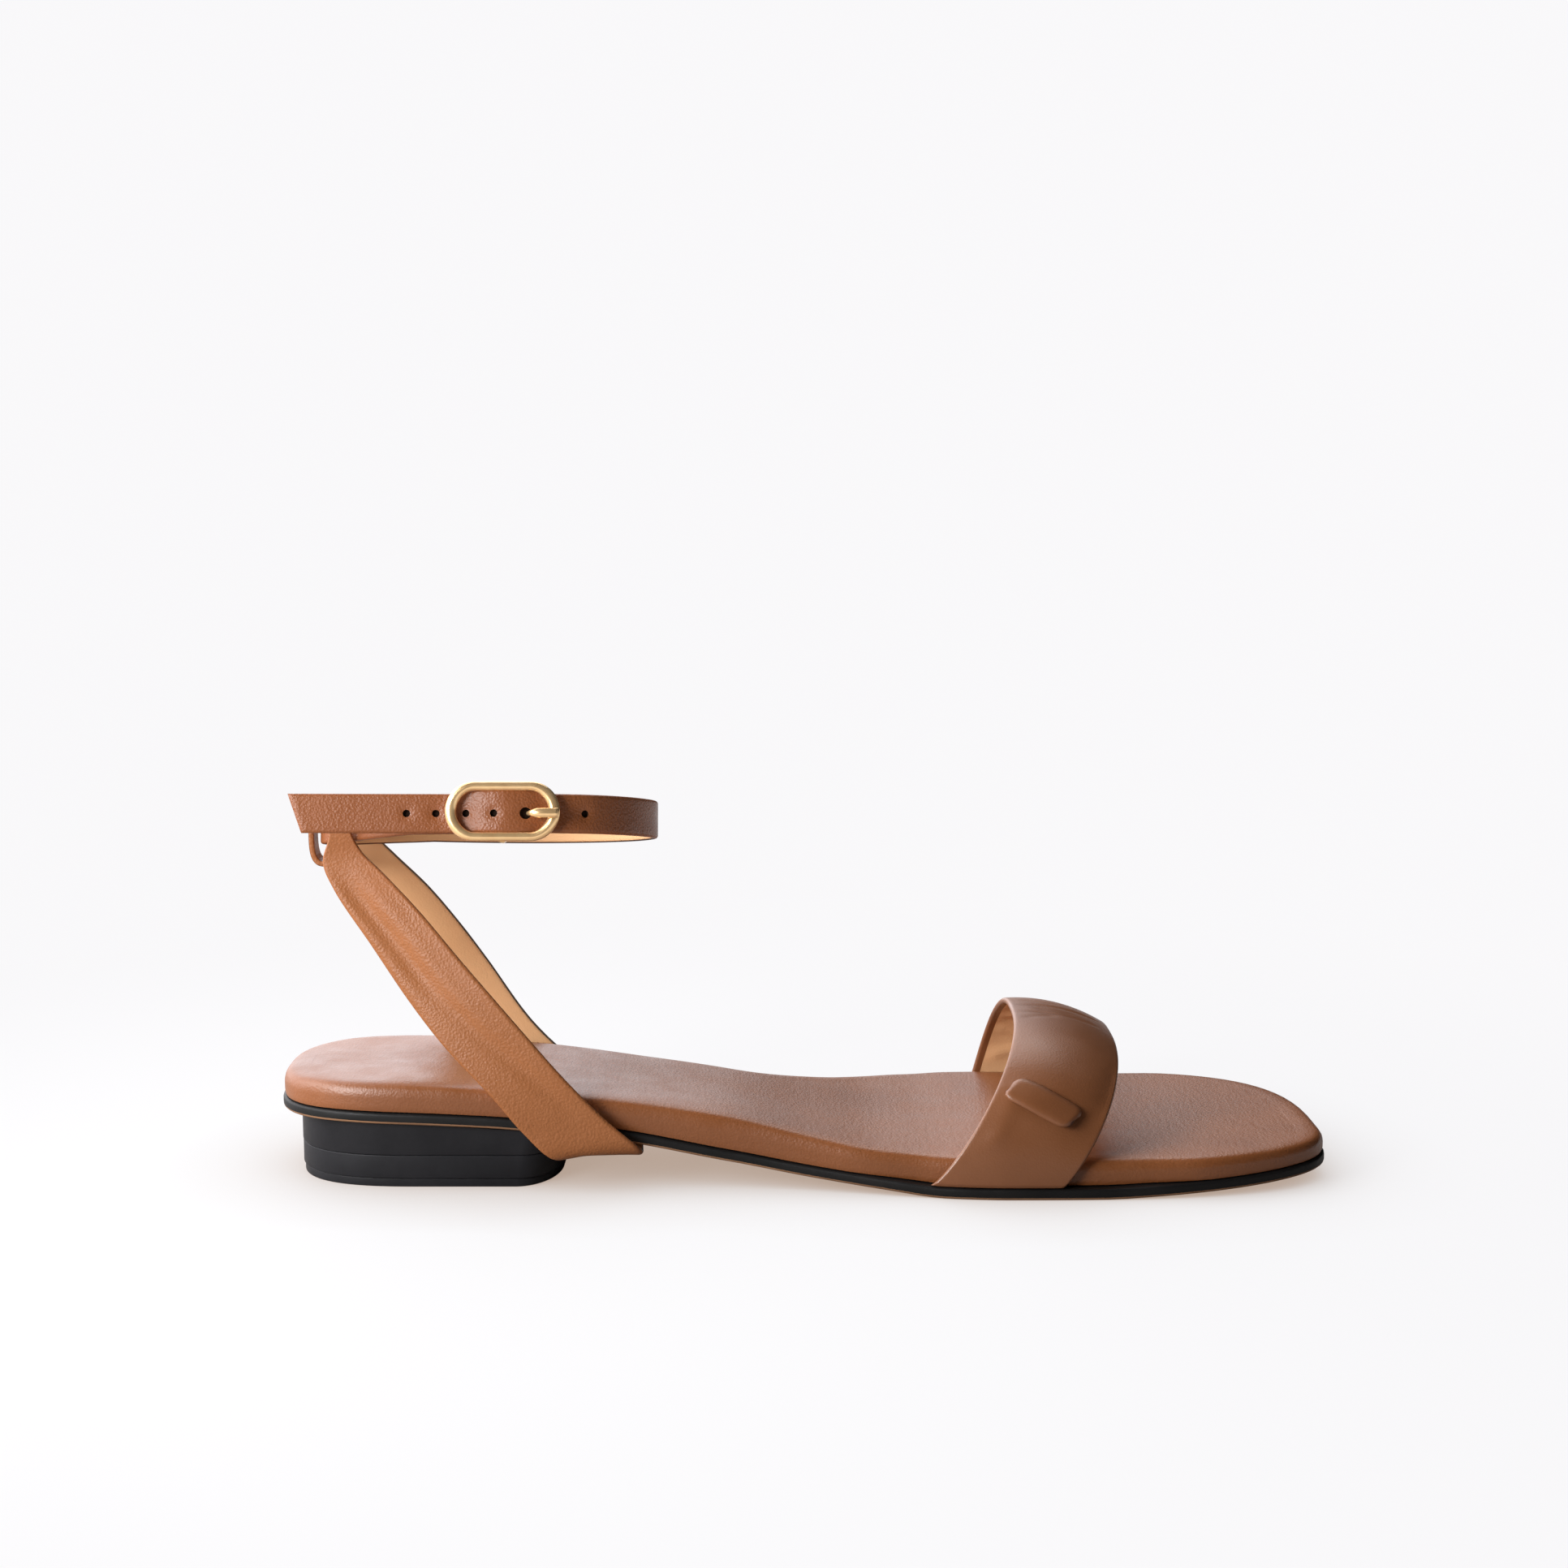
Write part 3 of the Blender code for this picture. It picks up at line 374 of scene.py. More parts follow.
def slopes_without_overshoot(xs, ys):
    """Slope at each row, so that a curve through the rows never swings past them."""
    steps = [b - a for a, b in zip(xs, xs[1:])]
    rises = [(b - a) / h for a, b, h in zip(ys, ys[1:], steps)]
    inner = []
    for left, right in zip(rises, rises[1:]):
        same_way = left * right > 0
        inner.append(2 * left * right / (left + right) if same_way else 0.0)
    return [0.0] + inner + [rises[-1]]


def from_table(rows, column, x):
    """Smooth value of one column of a table, by its x column."""
    xs = [row.x for row in rows]
    ys = [getattr(row, column) for row in rows]
    slopes = slopes_without_overshoot(xs, ys)
    x = min(max(x, xs[0]), xs[-1])
    k = max(i for i in range(len(xs) - 1) if xs[i] <= x)
    h = xs[k + 1] - xs[k]
    t = (x - xs[k]) / h
    start = (1 + 2 * t) * (1 - t) ** 2 * ys[k] + t * (1 - t) ** 2 * h * slopes[k]
    end = t * t * (3 - 2 * t) * ys[k + 1] + t * t * (t - 1) * h * slopes[k + 1]
    return start + end


def between(first, second, start, end, t):
    """Straight line from the first point, at start, to the second, at end."""
    return first * ((end - t) / (end - start)) + second * ((t - start) / (end - start))


def smooth_path(points, steps):
    """Points at even spacing along a centripetal curve through the given vectors."""
    padded = [2 * points[0] - points[1]] + list(points) + [2 * points[-1] - points[-2]]
    dense = []
    for p0, p1, p2, p3 in zip(padded, padded[1:], padded[2:], padded[3:]):
        t1 = (p1 - p0).length ** 0.5
        t2 = t1 + (p2 - p1).length ** 0.5
        t3 = t2 + (p3 - p2).length ** 0.5
        for i in range(CURVE_STEPS):
            t = t1 + (t2 - t1) * i / CURVE_STEPS
            a1 = between(p0, p1, 0.0, t1, t)
            a2 = between(p1, p2, t1, t2, t)
            a3 = between(p2, p3, t2, t3, t)
            b1 = between(a1, a2, 0.0, t2, t)
            b2 = between(a2, a3, t1, t3, t)
            dense.append(between(b1, b2, t1, t2, t))
    dense.append(points[-1].copy())
    return evenly_spaced(dense, steps)


def evenly_spaced(dense, steps):
    """The same line with its points at even distances."""
    lengths = running_lengths(dense)
    result = []
    k = 0
    for i in range(steps + 1):
        want = lengths[-1] * i / steps
        while k < len(dense) - 2 and lengths[k + 1] < want:
            k += 1
        share = (want - lengths[k]) / (lengths[k + 1] - lengths[k])
        result.append(dense[k].lerp(dense[k + 1], min(max(share, 0.0), 1.0)))
    return result


def running_lengths(points):
    lengths = [0.0]
    for a, b in zip(points, points[1:]):
        lengths.append(lengths[-1] + (b - a).length)
    return lengths


def superellipse(share, roundness):
    return max(0.0, 1.0 - min(share, 1.0) ** roundness) ** (1.0 / roundness)


def quarter_turn(steps):
    """Even angles from 0 to a quarter turn."""
    return [math.pi / 2 * i / steps for i in range(steps + 1)]


def neighbours(row, i, closed):
    """The entries before and after one, going round where the row is closed."""
    if closed:
        return row[i - 1], row[(i + 1) % len(row)]
    return row[max(i - 1, 0)], row[min(i + 1, len(row) - 1)]


def crease_height(creases, u, v):
    """Height of the listed creases at a place of a strap."""
    total = 0.0
    for c in creases:
        along = Vector((c.end_u - c.start_u, c.end_v - c.start_v))
        place = Vector((u - c.start_u, v - c.start_v))
        share = min(max(place.dot(along) / along.length_squared, 0.0), 1.0)
        away = (place - along * share).length / c.width
        total += c.height * smoothstep(min(share, 1.0 - share) / CREASE_FADE) * math.exp(-away * away)
    return total


# Materials


Noise = namedtuple("Noise", "scale detail")
COLOUR_SPAN = (0.3, 0.68)      # values of a noise between which the low colour turns into the high one
ROUGHNESS_SPAN = (0.3, 0.7)
BUMP_REACH = 0.0006

Leather = namedtuple("Leather", "low high roughness spread gloss grain grain_bump wrinkle_bump wrinkle_place",
                     defaults=(0.0, "UV"))
LEATHERS = {
    "band_leather": Leather(
        (0.19, 0.068, 0.025), (0.238, 0.088, 0.033), 0.36, 0.1, 0.6, 2400.0, 0.07, 0.05),
    "sling_leather": Leather(
        (0.272, 0.097, 0.033), (0.325, 0.121, 0.043), 0.42, 0.12, 0.24, 1900.0, 0.22, 0.09),
    "strap_leather": Leather(
        (0.22, 0.068, 0.021), (0.27, 0.086, 0.027), 0.42, 0.12, 0.38, 2000.0, 0.22, 0.05),
    "footbed_leather": Leather(
        (0.2, 0.065, 0.0195), (0.252, 0.084, 0.0255), 0.38, 0.1, 0.58, 2000.0, 0.11, 0.1, "Object"),
    "lining_leather": Leather(
        (0.76, 0.445, 0.225), (0.82, 0.49, 0.255), 0.62, 0.1, 0.2, 2100.0, 0.08, 0.08),
    # dark cut edge of the leather; on the bar tab's edges and inside the sling's loop it is painted shade
    "dark_edge_and_painted_shade": Leather((0.06, 0.026, 0.016), (0.115, 0.047, 0.024), 0.5, 0.1, 0.3, 1900.0, 0.15),
    "painted_edge": Leather((0.15, 0.115, 0.085), (0.2, 0.155, 0.115), 0.5, 0.1, 0.3, 1900.0, 0.15),
    # near-black painted shade on the walls and bottoms of the strap's holes and of the slot
    "hole_painted_shade": Leather((0.015, 0.007, 0.004), (0.03, 0.013, 0.007), 0.85, 0.05, 0.1, 1900.0, 0.1),
}
LEATHER_PATCHES = Noise(34.0, 5.0)
LEATHER_SHINE = Noise(136.0, 4.0)
WRINKLES = Noise(700.0, 6.0)
WRINKLE_STRETCH = (1.0, 0.3, 1.0)

Coat = namedtuple("Coat", "low high roughness spread patches shine specks bump specular metallic")
COAT_PATCHES = Noise(68.0, 6.0)
COAT_SHINE = Noise(170.0, 4.0)
GOLD_PATCHES = Noise(272.0, 4.0)
COATS = {
    "sole_edge_black": Coat(
        (0.006, 0.006, 0.006), (0.012, 0.011, 0.011), 0.48, 0.14,
        COAT_PATCHES, COAT_SHINE, Noise(900.0, 3.0), 0.05, 0.24, 0.0),
    "sole_line_tan": Coat(
        (0.3, 0.16, 0.085), (0.21, 0.11, 0.06), 0.6, 0.1,
        COAT_PATCHES, COAT_SHINE, Noise(900.0, 3.0), 0.06, 0.24, 0.0),
    "heel_black": Coat(
        (0.008, 0.008, 0.01), (0.016, 0.016, 0.019), 0.46, 0.12,
        COAT_PATCHES, COAT_SHINE, Noise(700.0, 3.0), 0.06, 0.24, 0.0),
    "gold_plating": Coat(
        (0.88, 0.56, 0.27), (0.98, 0.68, 0.35), 0.225, 0.09,
        GOLD_PATCHES, GOLD_PATCHES, Noise(2040.0, 2.0), 0.006, 0.5, 0.72),
}


def node_with(tree, kind, **values):
    """One shader node with its sockets and settings given by name."""
    node = tree.nodes.new(kind)
    for key, value in values.items():
        if key in node.inputs:
            node.inputs[key].default_value = value
        else:
            setattr(node, key, value)
    return node


def noise(tree, place, kind):
    texture = node_with(tree, "ShaderNodeTexNoise", Scale=kind.scale, Detail=kind.detail)
    tree.links.new(place, texture.inputs["Vector"])
    return texture.outputs["Fac"]


def mapped(tree, driver, span, low=0.0, high=1.0, **settings):
    """A value that goes from low to high while its driver crosses the span."""
    ends = {"From Min": span[0], "From Max": span[1], "To Min": low, "To Max": high}
    node = node_with(tree, "ShaderNodeMapRange", **settings, **ends)
    tree.links.new(driver, node.inputs["Value"])
    return node.outputs["Result"]


def spread_colour(tree, driver, low, high):
    ramp = tree.nodes.new("ShaderNodeValToRGB")
    for stop, position, colour in zip(ramp.color_ramp.elements, COLOUR_SPAN, (low, high)):
        stop.position = position
        stop.color = (*colour, 1.0)
    tree.links.new(driver, ramp.inputs["Fac"])
    return ramp.outputs["Color"]


def mixed_colour(tree, factor, first, second):
    mix = node_with(tree, "ShaderNodeMix", data_type="RGBA")
    colours = [socket for socket in mix.inputs if socket.type == "RGBA"]
    for socket, colour in zip(colours, (first, second)):
        socket.default_value = colour
    tree.links.new(factor, mix.inputs["Factor"])
    return next(socket for socket in mix.outputs if socket.type == "RGBA")


def show_mix(tree, factor, first, second, output):
    """Send the output one of two shaders, or a blend of them."""
    mix = tree.nodes.new("ShaderNodeMixShader")
    for socket, source in zip(mix.inputs, (factor, first, second)):
        tree.links.new(source, socket)
    tree.links.new(mix.outputs["Shader"], tree.nodes[output].inputs["Surface"])


def chain_bump(tree, height, strength, before=None):
    bump = node_with(tree, "ShaderNodeBump", Strength=strength, Distance=BUMP_REACH)
    tree.links.new(height, bump.inputs["Height"])
    if before is not None:
        tree.links.new(before, bump.inputs["Normal"])
    return bump.outputs["Normal"]


def new_material(name):
    """Material with its node tree, its shader and the places that textures go by."""
    material = bpy.data.materials.new(name)
    material.use_nodes = True
    tree = material.node_tree
    return material, tree, tree.nodes["Principled BSDF"], tree.nodes.new("ShaderNodeTexCoord").outputs


def add_patches(tree, shader, place, look, patches, shine):
    """Colour and roughness that vary in soft patches."""
    colour = spread_colour(tree, noise(tree, place, patches), look.low, look.high)
    tree.links.new(colour, shader.inputs["Base Color"])
    smooth, rough = look.roughness - look.spread / 2, look.roughness + look.spread / 2
    roughness = mapped(tree, noise(tree, place, shine), ROUGHNESS_SPAN, smooth, rough)
    tree.links.new(roughness, shader.inputs["Roughness"])


def leather_material(name, look):
    """Leather with patches of deeper colour, a pebbled grain and fine stretched wrinkles."""
    material, tree, shader, places = new_material(name)
    add_patches(tree, shader, places["Object"], look, LEATHER_PATCHES, LEATHER_SHINE)
    grain = node_with(tree, "ShaderNodeTexVoronoi", feature="SMOOTH_F1", Scale=look.grain)
    tree.links.new(places["Object"], grain.inputs["Vector"])
    normal = chain_bump(tree, grain.outputs["Distance"], look.grain_bump)
    if look.wrinkle_bump:
        stretch = node_with(tree, "ShaderNodeMapping", Scale=WRINKLE_STRETCH)
        tree.links.new(places[look.wrinkle_place], stretch.inputs["Vector"])
        wrinkles = noise(tree, stretch.outputs["Vector"], WRINKLES)
        normal = chain_bump(tree, wrinkles, look.wrinkle_bump, normal)
    tree.links.new(normal, shader.inputs["Normal"])
    shader.inputs["Specular IOR Level"].default_value = look.gloss
    return material


def coat_material(name, look):
    """Painted, moulded or plated surface with faint wear."""
    material, tree, shader, places = new_material(name)
    add_patches(tree, shader, places["Object"], look, look.patches, look.shine)
    specks = noise(tree, places["Object"], look.specks)
    tree.links.new(chain_bump(tree, specks, look.bump), shader.inputs["Normal"])
    shader.inputs["Specular IOR Level"].default_value = look.specular
    shader.inputs["Metallic"].default_value = look.metallic
    return material


materials = {name: leather_material(name, look) for name, look in LEATHERS.items()}
materials.update({name: coat_material(name, look) for name, look in COATS.items()})


# Making pieces


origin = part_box("outsole")[0] - Vector((0.0, SOLE_NEAR_Y, 0.0)) * MM
EDGE_SHARES = (0.0, 0.06, 0.2, 0.42, 0.7, 1.0)
END_ROUND = (0.55, 0.8, 0.95)  # thickness left over the last rows of an open strap
EDGE_FACES = 3                 # faces from the middle of an edge to the lining
BAND_EDGE_FACES = 7            # the band's leather is turned further round its edges
SlotNumbers = namedtuple("SlotNumbers", "outer inner edge")
PLAIN_SLOTS = SlotNumbers(0, 1, 2)
# the loop's inside takes the fourth material, dark edge leather used as painted shade
LOOP_SLOTS = SlotNumbers(0, 3, 0)
StrapLook = namedtuple("StrapLook", "thick margin flip closed edge_faces slots outer_creases inner_creases",
                       defaults=(False, False, EDGE_FACES, PLAIN_SLOTS, (), ()))


def placed(point):
    """Millimetre point at the frame's place, in metres."""
    return Vector(point) * MM + origin


def mesh_of(name, work):
    mesh = bpy.data.meshes.new(name)
    work.to_mesh(mesh)
    work.free()
    return mesh


def add_object(name, data):
    thing = bpy.data.objects.new(name, data)
    scene.collection.objects.link(thing)
    return thing


def make_mesh(name, points, faces, slots, places=None):
    """Mesh of millimetre points at the frame's place; slots gives each face its material number.

    places, where given, holds each point's distance along and across a strap, for its wrinkles.
    """
    mesh = bpy.data.meshes.new(name)
    mesh.from_pydata([tuple(placed(p)) for p in points], [], faces)
    mesh.polygons.foreach_set("material_index", slots)
    if places is not None:
        layer = mesh.uv_layers.new(name="strap")
        for loop in mesh.loops:
            layer.data[loop.index].uv = Vector(places[loop.vertex_index]) * MM
    work = bmesh.new()
    work.from_mesh(mesh)
    bmesh.ops.recalc_face_normals(work, faces=work.faces)
    work.to_mesh(mesh)
    work.free()
    mesh.shade_smooth()
    return mesh


def add_piece(name, mesh, material_names, node):
    """Show a piece in place of its solid."""
    for key in material_names:
        mesh.materials.append(materials[key])
    mesh.set_sharp_from_angle(angle=SHARP_ANGLE)
    piece = add_object(name, mesh)
    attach(piece, BODY)
    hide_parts(node)


def edge_columns(count, margin):
    """Shares across a strap: even columns, with a few close together at each edge."""
    close = [margin * share for share in EDGE_SHARES]
    inner = [margin + (1.0 - 2 * margin) * k / count for k in range(1, count)]
    return close + inner + [1.0 - c for c in reversed(close)]


def round_over(share, margin):
    """Half thickness left at a share across, for a rounded edge."""
    into = min(share, 1.0 - share) / margin
    return math.sqrt(max(0.0, 1.0 - (1.0 - min(into, 1.0)) ** 2))


def grid_normals(grid, closed):
    """Direction square to a grid of points at each of them."""
    normals = []
    for i, row in enumerate(grid):
        behind, ahead = neighbours(grid, i, closed)
        square = []
        for k in range(len(row)):
            left, right = neighbours(row, k, False)
            square.append((ahead[k] - behind[k]).cross(right - left).normalized())
        normals.append(square)
    return normals


def side_faces(rows, around, closed):
    """Faces between neighbouring rings of points, in order."""
    faces = []
    for i in range(rows if closed else rows - 1):
        j = (i + 1) % rows
        for k in range(around):
            n = (k + 1) % around
            faces.append((i * around + k, i * around + n, j * around + n, j * around + k))
    return faces


def cap_faces(start, around):
    """Faces across a ring, from its one side to the other."""
    faces = []
    for k in range(around // 2):
        corners = (k, k + 1, around - k - 1, (around - k) % around)
        faces.append(tuple(start + c for c in dict.fromkeys(corners)))
    return faces


def strap_faces(rows, columns, look):
    """Faces of a closed strap body, with material numbers for outside, inside and edges."""
    around = 2 * columns - 2
    faces = side_faces(rows, around, look.closed)
    slots = []
    for k in range(around):
        back = around - k - 1
        on_edge = back < look.edge_faces or back >= columns - 1 - look.edge_faces
        inside = look.slots.edge if on_edge else look.slots.inner
        slots.append(look.slots.outer if k < columns - 1 else inside)
    slots *= len(faces) // around
    if not look.closed:
        caps = cap_faces(0, around) + cap_faces((rows - 1) * around, around)
        faces += caps
        slots += [look.slots.edge] * len(caps)
    return faces, slots


def strap_mesh(name, grid, shares, look, relief=None):
    """Closed body of a strap round a grid of points: outside, rounded edges, inside and creases."""
    rows, columns = len(grid), len(shares)
    normals = grid_normals(grid, look.closed)
    way = -1.0 if look.flip else 1.0
    lengths = running_lengths([row[columns // 2] for row in grid])
    points, places = [], []
    for i, row in enumerate(grid):
        to_end = rows if look.closed else min(i, rows - 1 - i)
        end_round = END_ROUND[to_end] if to_end < len(END_ROUND) else 1.0
        width = (row[-1] - row[0]).length
        outside, inside = [], []
        for k, share in enumerate(shares):
            half = look.thick / 2 * round_over(share, look.margin) * end_round
            settle = smoothstep(min(share, 1.0 - share) / look.margin / 2)
            out = normals[i][k] * way
            raised = crease_height(look.outer_creases, lengths[i], share * width)
            if relief is not None:
                raised += relief(row[k], lengths[i])
            sunk = crease_height(look.inner_creases, lengths[i], share * width)
            outside.append(row[k] + out * (half + raised * settle))
            inside.append(row[k] - out * (half + sunk * settle))
        points += outside + inside[-2:0:-1]
        across = [(lengths[i], share * width) for share in shares]
        places += across + across[-2:0:-1]
    faces, slots = strap_faces(rows, columns, look)
    return make_mesh(name, points, faces, slots, places)


def rings_mesh(name, rings, ring_slots, cap_slots):
    """Closed solid through rings that run along one side and back along the other."""
    count = len(rings[0])
    points = [p for ring in rings for p in ring]
    faces = side_faces(len(rings), count, False)
    slots = [ring_slots[i // count] for i in range(len(faces))]
    for start, slot in zip((0, (len(rings) - 1) * count), cap_slots):
        cap = cap_faces(start, count)
        faces += cap
        slots += [slot] * len(cap)
    return make_mesh(name, points, faces, slots)


def swept_mesh(name, centres, half_widths, half_depths, square, closed):
    """Rounded bar along a line; square is the direction of its depth, half_widths go the other way."""
    points = []
    for i, centre in enumerate(centres):
        behind, ahead = neighbours(centres, i, closed)
        side = (ahead - behind).cross(square).normalized()
        for k in range(WIRE_SIDES):
            angle = 2 * math.pi * k / WIRE_SIDES
            across = side * (half_widths[i] * math.cos(angle))
            points.append(centre + across + square * (half_depths[i] * math.sin(angle)))
    faces = side_faces(len(centres), WIRE_SIDES, closed)
    if not closed:
        for start in (0, (len(centres) - 1) * WIRE_SIDES):
            faces.append(tuple(range(start, start + WIRE_SIDES)))
    return make_mesh(name, points, faces, [0] * len(faces))


def join_meshes(name, meshes):
    """One mesh that holds several closed bodies."""
    work = bmesh.new()
    for mesh in meshes:
        work.from_mesh(mesh)
    return mesh_of(name, work)


# Sole and heel


def sole_stations():
    """Distances along the sole, close together round the two ends."""
    quarter = quarter_turn(END_STEPS)[:-1]
    heel = [HEEL_WIDE_X * (1 - math.cos(a)) for a in quarter]
    sides = [HEEL_WIDE_X + (BALL_X - HEEL_WIDE_X) * i / SIDE_STEPS for i in range(SIDE_STEPS)]
    toe = [BALL_X + (SOLE_LENGTH - BALL_X) * math.sin(a) for a in quarter]
    return heel + sides + toe + [SOLE_LENGTH]


def edge_y(x, side):
    """The outsole's edge at a station, on the near or the far side."""
    widest = from_table(SIDES, side, x)
    if x < HEEL_WIDE_X:
        share = (HEEL_WIDE_X - x) / HEEL_WIDE_X
        return SOLE_AXIS_Y + (widest - SOLE_AXIS_Y) * superellipse(share, HEEL_ROUNDNESS)
    if x > BALL_X:
        roundness = TOE_ROUNDNESS_NEAR if side == "near" else TOE_ROUNDNESS_FAR
        share = (x - BALL_X) / (SOLE_LENGTH - BALL_X)
        return TOE_TIP_Y + (widest - TOE_TIP_Y) * superellipse(share, roundness)
    return widest


def sole_outline():
    """Closed outline: near side from heel to toe, then the far side back."""
    stations = sole_stations()
    near = [Vector((x, edge_y(x, "near"), 0.0)) for x in stations]
    far = [Vector((x, edge_y(x, "far"), 0.0)) for x in stations[1:-1]]
    return near + far[::-1]


def inset_outline(outline, inset, relief=0.0):
    """The outline moved in by a distance, each point with the station it came from."""
    moved = []
    for k, p in enumerate(outline):
        behind, ahead = neighbours(outline, k, True)
        along = (ahead - behind).normalized()
        depth = inset - relief * (1.0 - band_recess(p.x))
        moved.append(Vector((p.x - along.y * depth, p.y + along.x * depth, p.x)))
    return moved


def band_recess(x):
    """1 beside the toe band, where the footbed makes room for it, and 0 elsewhere."""
    return smoothstep(min(x - BAND_RECESS_START, BAND_RECESS_END - x) / BAND_RECESS_FADE)


def sole_bottom(x):
    return from_table(LEVELS, "bottom", x)


def footbed_height(x, share):
    floor = sole_bottom(x) + OUTSOLE_THICK + GAP
    return floor + (from_table(LEVELS, "top", x) - floor) * share


def make_outsole():
    outline = sole_outline()
    rings, slots = [], []
    for ring in OUTSOLE_RINGS:
        rings.append([(p.x, p.y, sole_bottom(p.z) + ring.lift) for p in inset_outline(outline, ring.inset)])
        slots.append(1 if ring.tan else 0)
    mesh = rings_mesh("outsole_edge", rings, slots, (1, 0))
    add_piece("sole_board", mesh, ("sole_edge_black", "sole_line_tan"), "outsole")


def footbed_wall(outline):
    """Rings up the footbed's wall and over its rounded shoulder."""
    rings = []
    for i in range(FOOTBED_RING_STEPS + 1):
        climb = i / FOOTBED_RING_STEPS
        place = (len(FOOTBED_RINGS) - 1) * climb
        inset = from_table(FOOTBED_RINGS, "inset", place)
        share = from_table(FOOTBED_RINGS, "share", place)
        rings.append([(p.x, p.y, footbed_height(p.z + (p.x - p.z) * climb, share))
                      for p in inset_outline(outline, inset, FOOTBED_RELIEF)])
    return rings


def footbed_top(rim):
    """Rings from the shoulder in to the middle line, slightly hollow."""
    rings = []
    for i in range(1, FOOTBED_TOP_STEPS):
        inward = 0.5 * i / FOOTBED_TOP_STEPS
        ring = []
        for k in range(len(rim)):
            here, opposite = Vector(rim[k]), Vector(rim[-k])
            to_end = min(here.x, SOLE_LENGTH - here.x)
            hollow = FOOTBED_DISH * smoothstep(2 * inward) * smoothstep(to_end / FOOTBED_DISH_FADE)
            ring.append(here.lerp(opposite, inward) - Vector((0.0, 0.0, hollow)))
        rings.append(ring)
    return rings


def make_footbed():
    rings = footbed_wall(sole_outline())
    rings += footbed_top(rings[-1])
    mesh = rings_mesh("footbed_wrap", rings, [0] * len(rings), (0, 0))
    add_piece("wrapped_footbed", mesh, ("footbed_leather",), "footbed")


def heel_outline(front_x, inset):
    """Heel in plan: a rounded back, straight sides and a breast with wide rounded corners."""
    back_x = HEEL_BACK_X + inset
    corner_start = front_x - inset - HEEL_CORNER
    quarter = quarter_turn(END_STEPS)
    xs = [HEEL_WIDE_X - (HEEL_WIDE_X - back_x) * math.cos(a) for a in quarter]
    xs += [corner_start + HEEL_CORNER * math.sin(a) for a in quarter]
    near, far = [], []
    for x in xs:
        share = (HEEL_WIDE_X - x) / (HEEL_WIDE_X - back_x)
        swell = superellipse(share, HEEL_ROUNDNESS) if x < HEEL_WIDE_X else 1.0
        corner = max(0.0, x - corner_start) / HEEL_CORNER
        trim = HEEL_CORNER_REACH * (1.0 - superellipse(corner, ELLIPSE))
        near.append((x, SOLE_AXIS_Y + (HEEL_NEAR_Y + inset - SOLE_AXIS_Y) * swell + trim))
        far.append((x, SOLE_AXIS_Y + (HEEL_FAR_Y - inset - SOLE_AXIS_Y) * swell - trim))
    breast = [(near[-1][0], SOLE_AXIS_Y)]
    return near + breast + far[:0:-1]


def heel_ring(z, inset):
    """One closed ring of the heel; z None follows the underside of the outsole."""
    level = sole_bottom(HEEL_WIDE_X) if z is None else z
    lean = HEEL_UNDERCUT * (1.0 - level / sole_bottom(HEEL_WIDE_X))
    ring = []
    for x, y in heel_outline(HEEL_FRONT_X - lean, inset):
        ring.append((x, y, sole_bottom(x) - GAP if z is None else z))
    return ring


def heel_edge(layer, level, up):
    """Rings round one edge of a layer; up is 1 from its floor upwards and -1 from its roof downwards."""
    rings = []
    for a in quarter_turn(HEEL_ROUND_STEPS):
        inset = layer.inset + HEEL_ROUND * (1.0 - math.sin(a))
        rings.append(heel_ring(level + up * HEEL_ROUND * (1.0 - math.cos(a)), inset))
    return rings


def make_heel():
    for layer in HEEL_LAYERS:
        rings = heel_edge(layer, layer.floor, 1)
        if layer.roof is None:
            rings.append(heel_ring(None, layer.inset))
        else:
            rings += heel_edge(layer, layer.roof, -1)[::-1]
        mesh = rings_mesh(layer.name + "_layer", rings, [0] * len(rings), (0, 0))
        add_piece(layer.name + "_layer", mesh, ("heel_black",), layer.name)


# Toe band


def arch_point(arch, around):
    """Point of one edge of the band; around runs from 0 at the near foot to 1 at the far foot."""
    angle = math.pi * around
    sweep, climb = math.cos(angle), math.sin(angle)
    across = math.copysign(abs(sweep) ** (2.0 / arch.roundness), sweep)
    up = climb ** (2.0 / arch.roundness)
    side = "near" if around < 0.5 else "far"
    foot_x = arch.near_x if around < 0.5 else arch.far_x
    x = foot_x + (arch.top_x - foot_x) * up ** BAND_LEAN
    inward = (BAND_FOOT + BAND_THICK / 2) * (1 if side == "near" else -1)
    foot_y = edge_y(x, side) + inward
    y = arch.top_y + (foot_y - arch.top_y) * abs(across)
    floor = sole_bottom(x) + OUTSOLE_THICK + GAP
    return Vector((x, y, floor + (arch.rise - floor) * up))


def arch_at(along):
    """The arch part of the way from the rear edge, at 0, to the front edge, at 1."""
    return Arch(*(a + (b - a) * along for a, b in zip(BAND_REAR, BAND_FRONT)))


def band_point(around, along, lift=0.0):
    """Point of the band's middle surface, raised by a crown between its edges."""
    full = min(1.0, math.sin(math.pi * around) * BAND_CROWN_REACH) ** 2
    crown = BAND_CROWN * 4 * along * (1 - along) * full
    return arch_point(arch_at(along), around) + band_out(around, along) * (lift + crown)


def band_out(around, along):
    """Outward direction, square to the band."""
    low, high = max(0.0, around - BAND_NUDGE), min(1.0, around + BAND_NUDGE)
    round_way = arch_point(arch_at(along), high) - arch_point(arch_at(along), low)
    ahead, behind = arch_at(along + BAND_NUDGE), arch_at(along - BAND_NUDGE)
    fore_way = arch_point(ahead, around) - arch_point(behind, around)
    return fore_way.cross(round_way).normalized()


def band_share(i):
    """Steps round the band, closer together at its two feet."""
    t = i / BAND_STEPS_AROUND
    return t - math.sin(2 * math.pi * t) / (2 * math.pi) * BAND_CROWDING


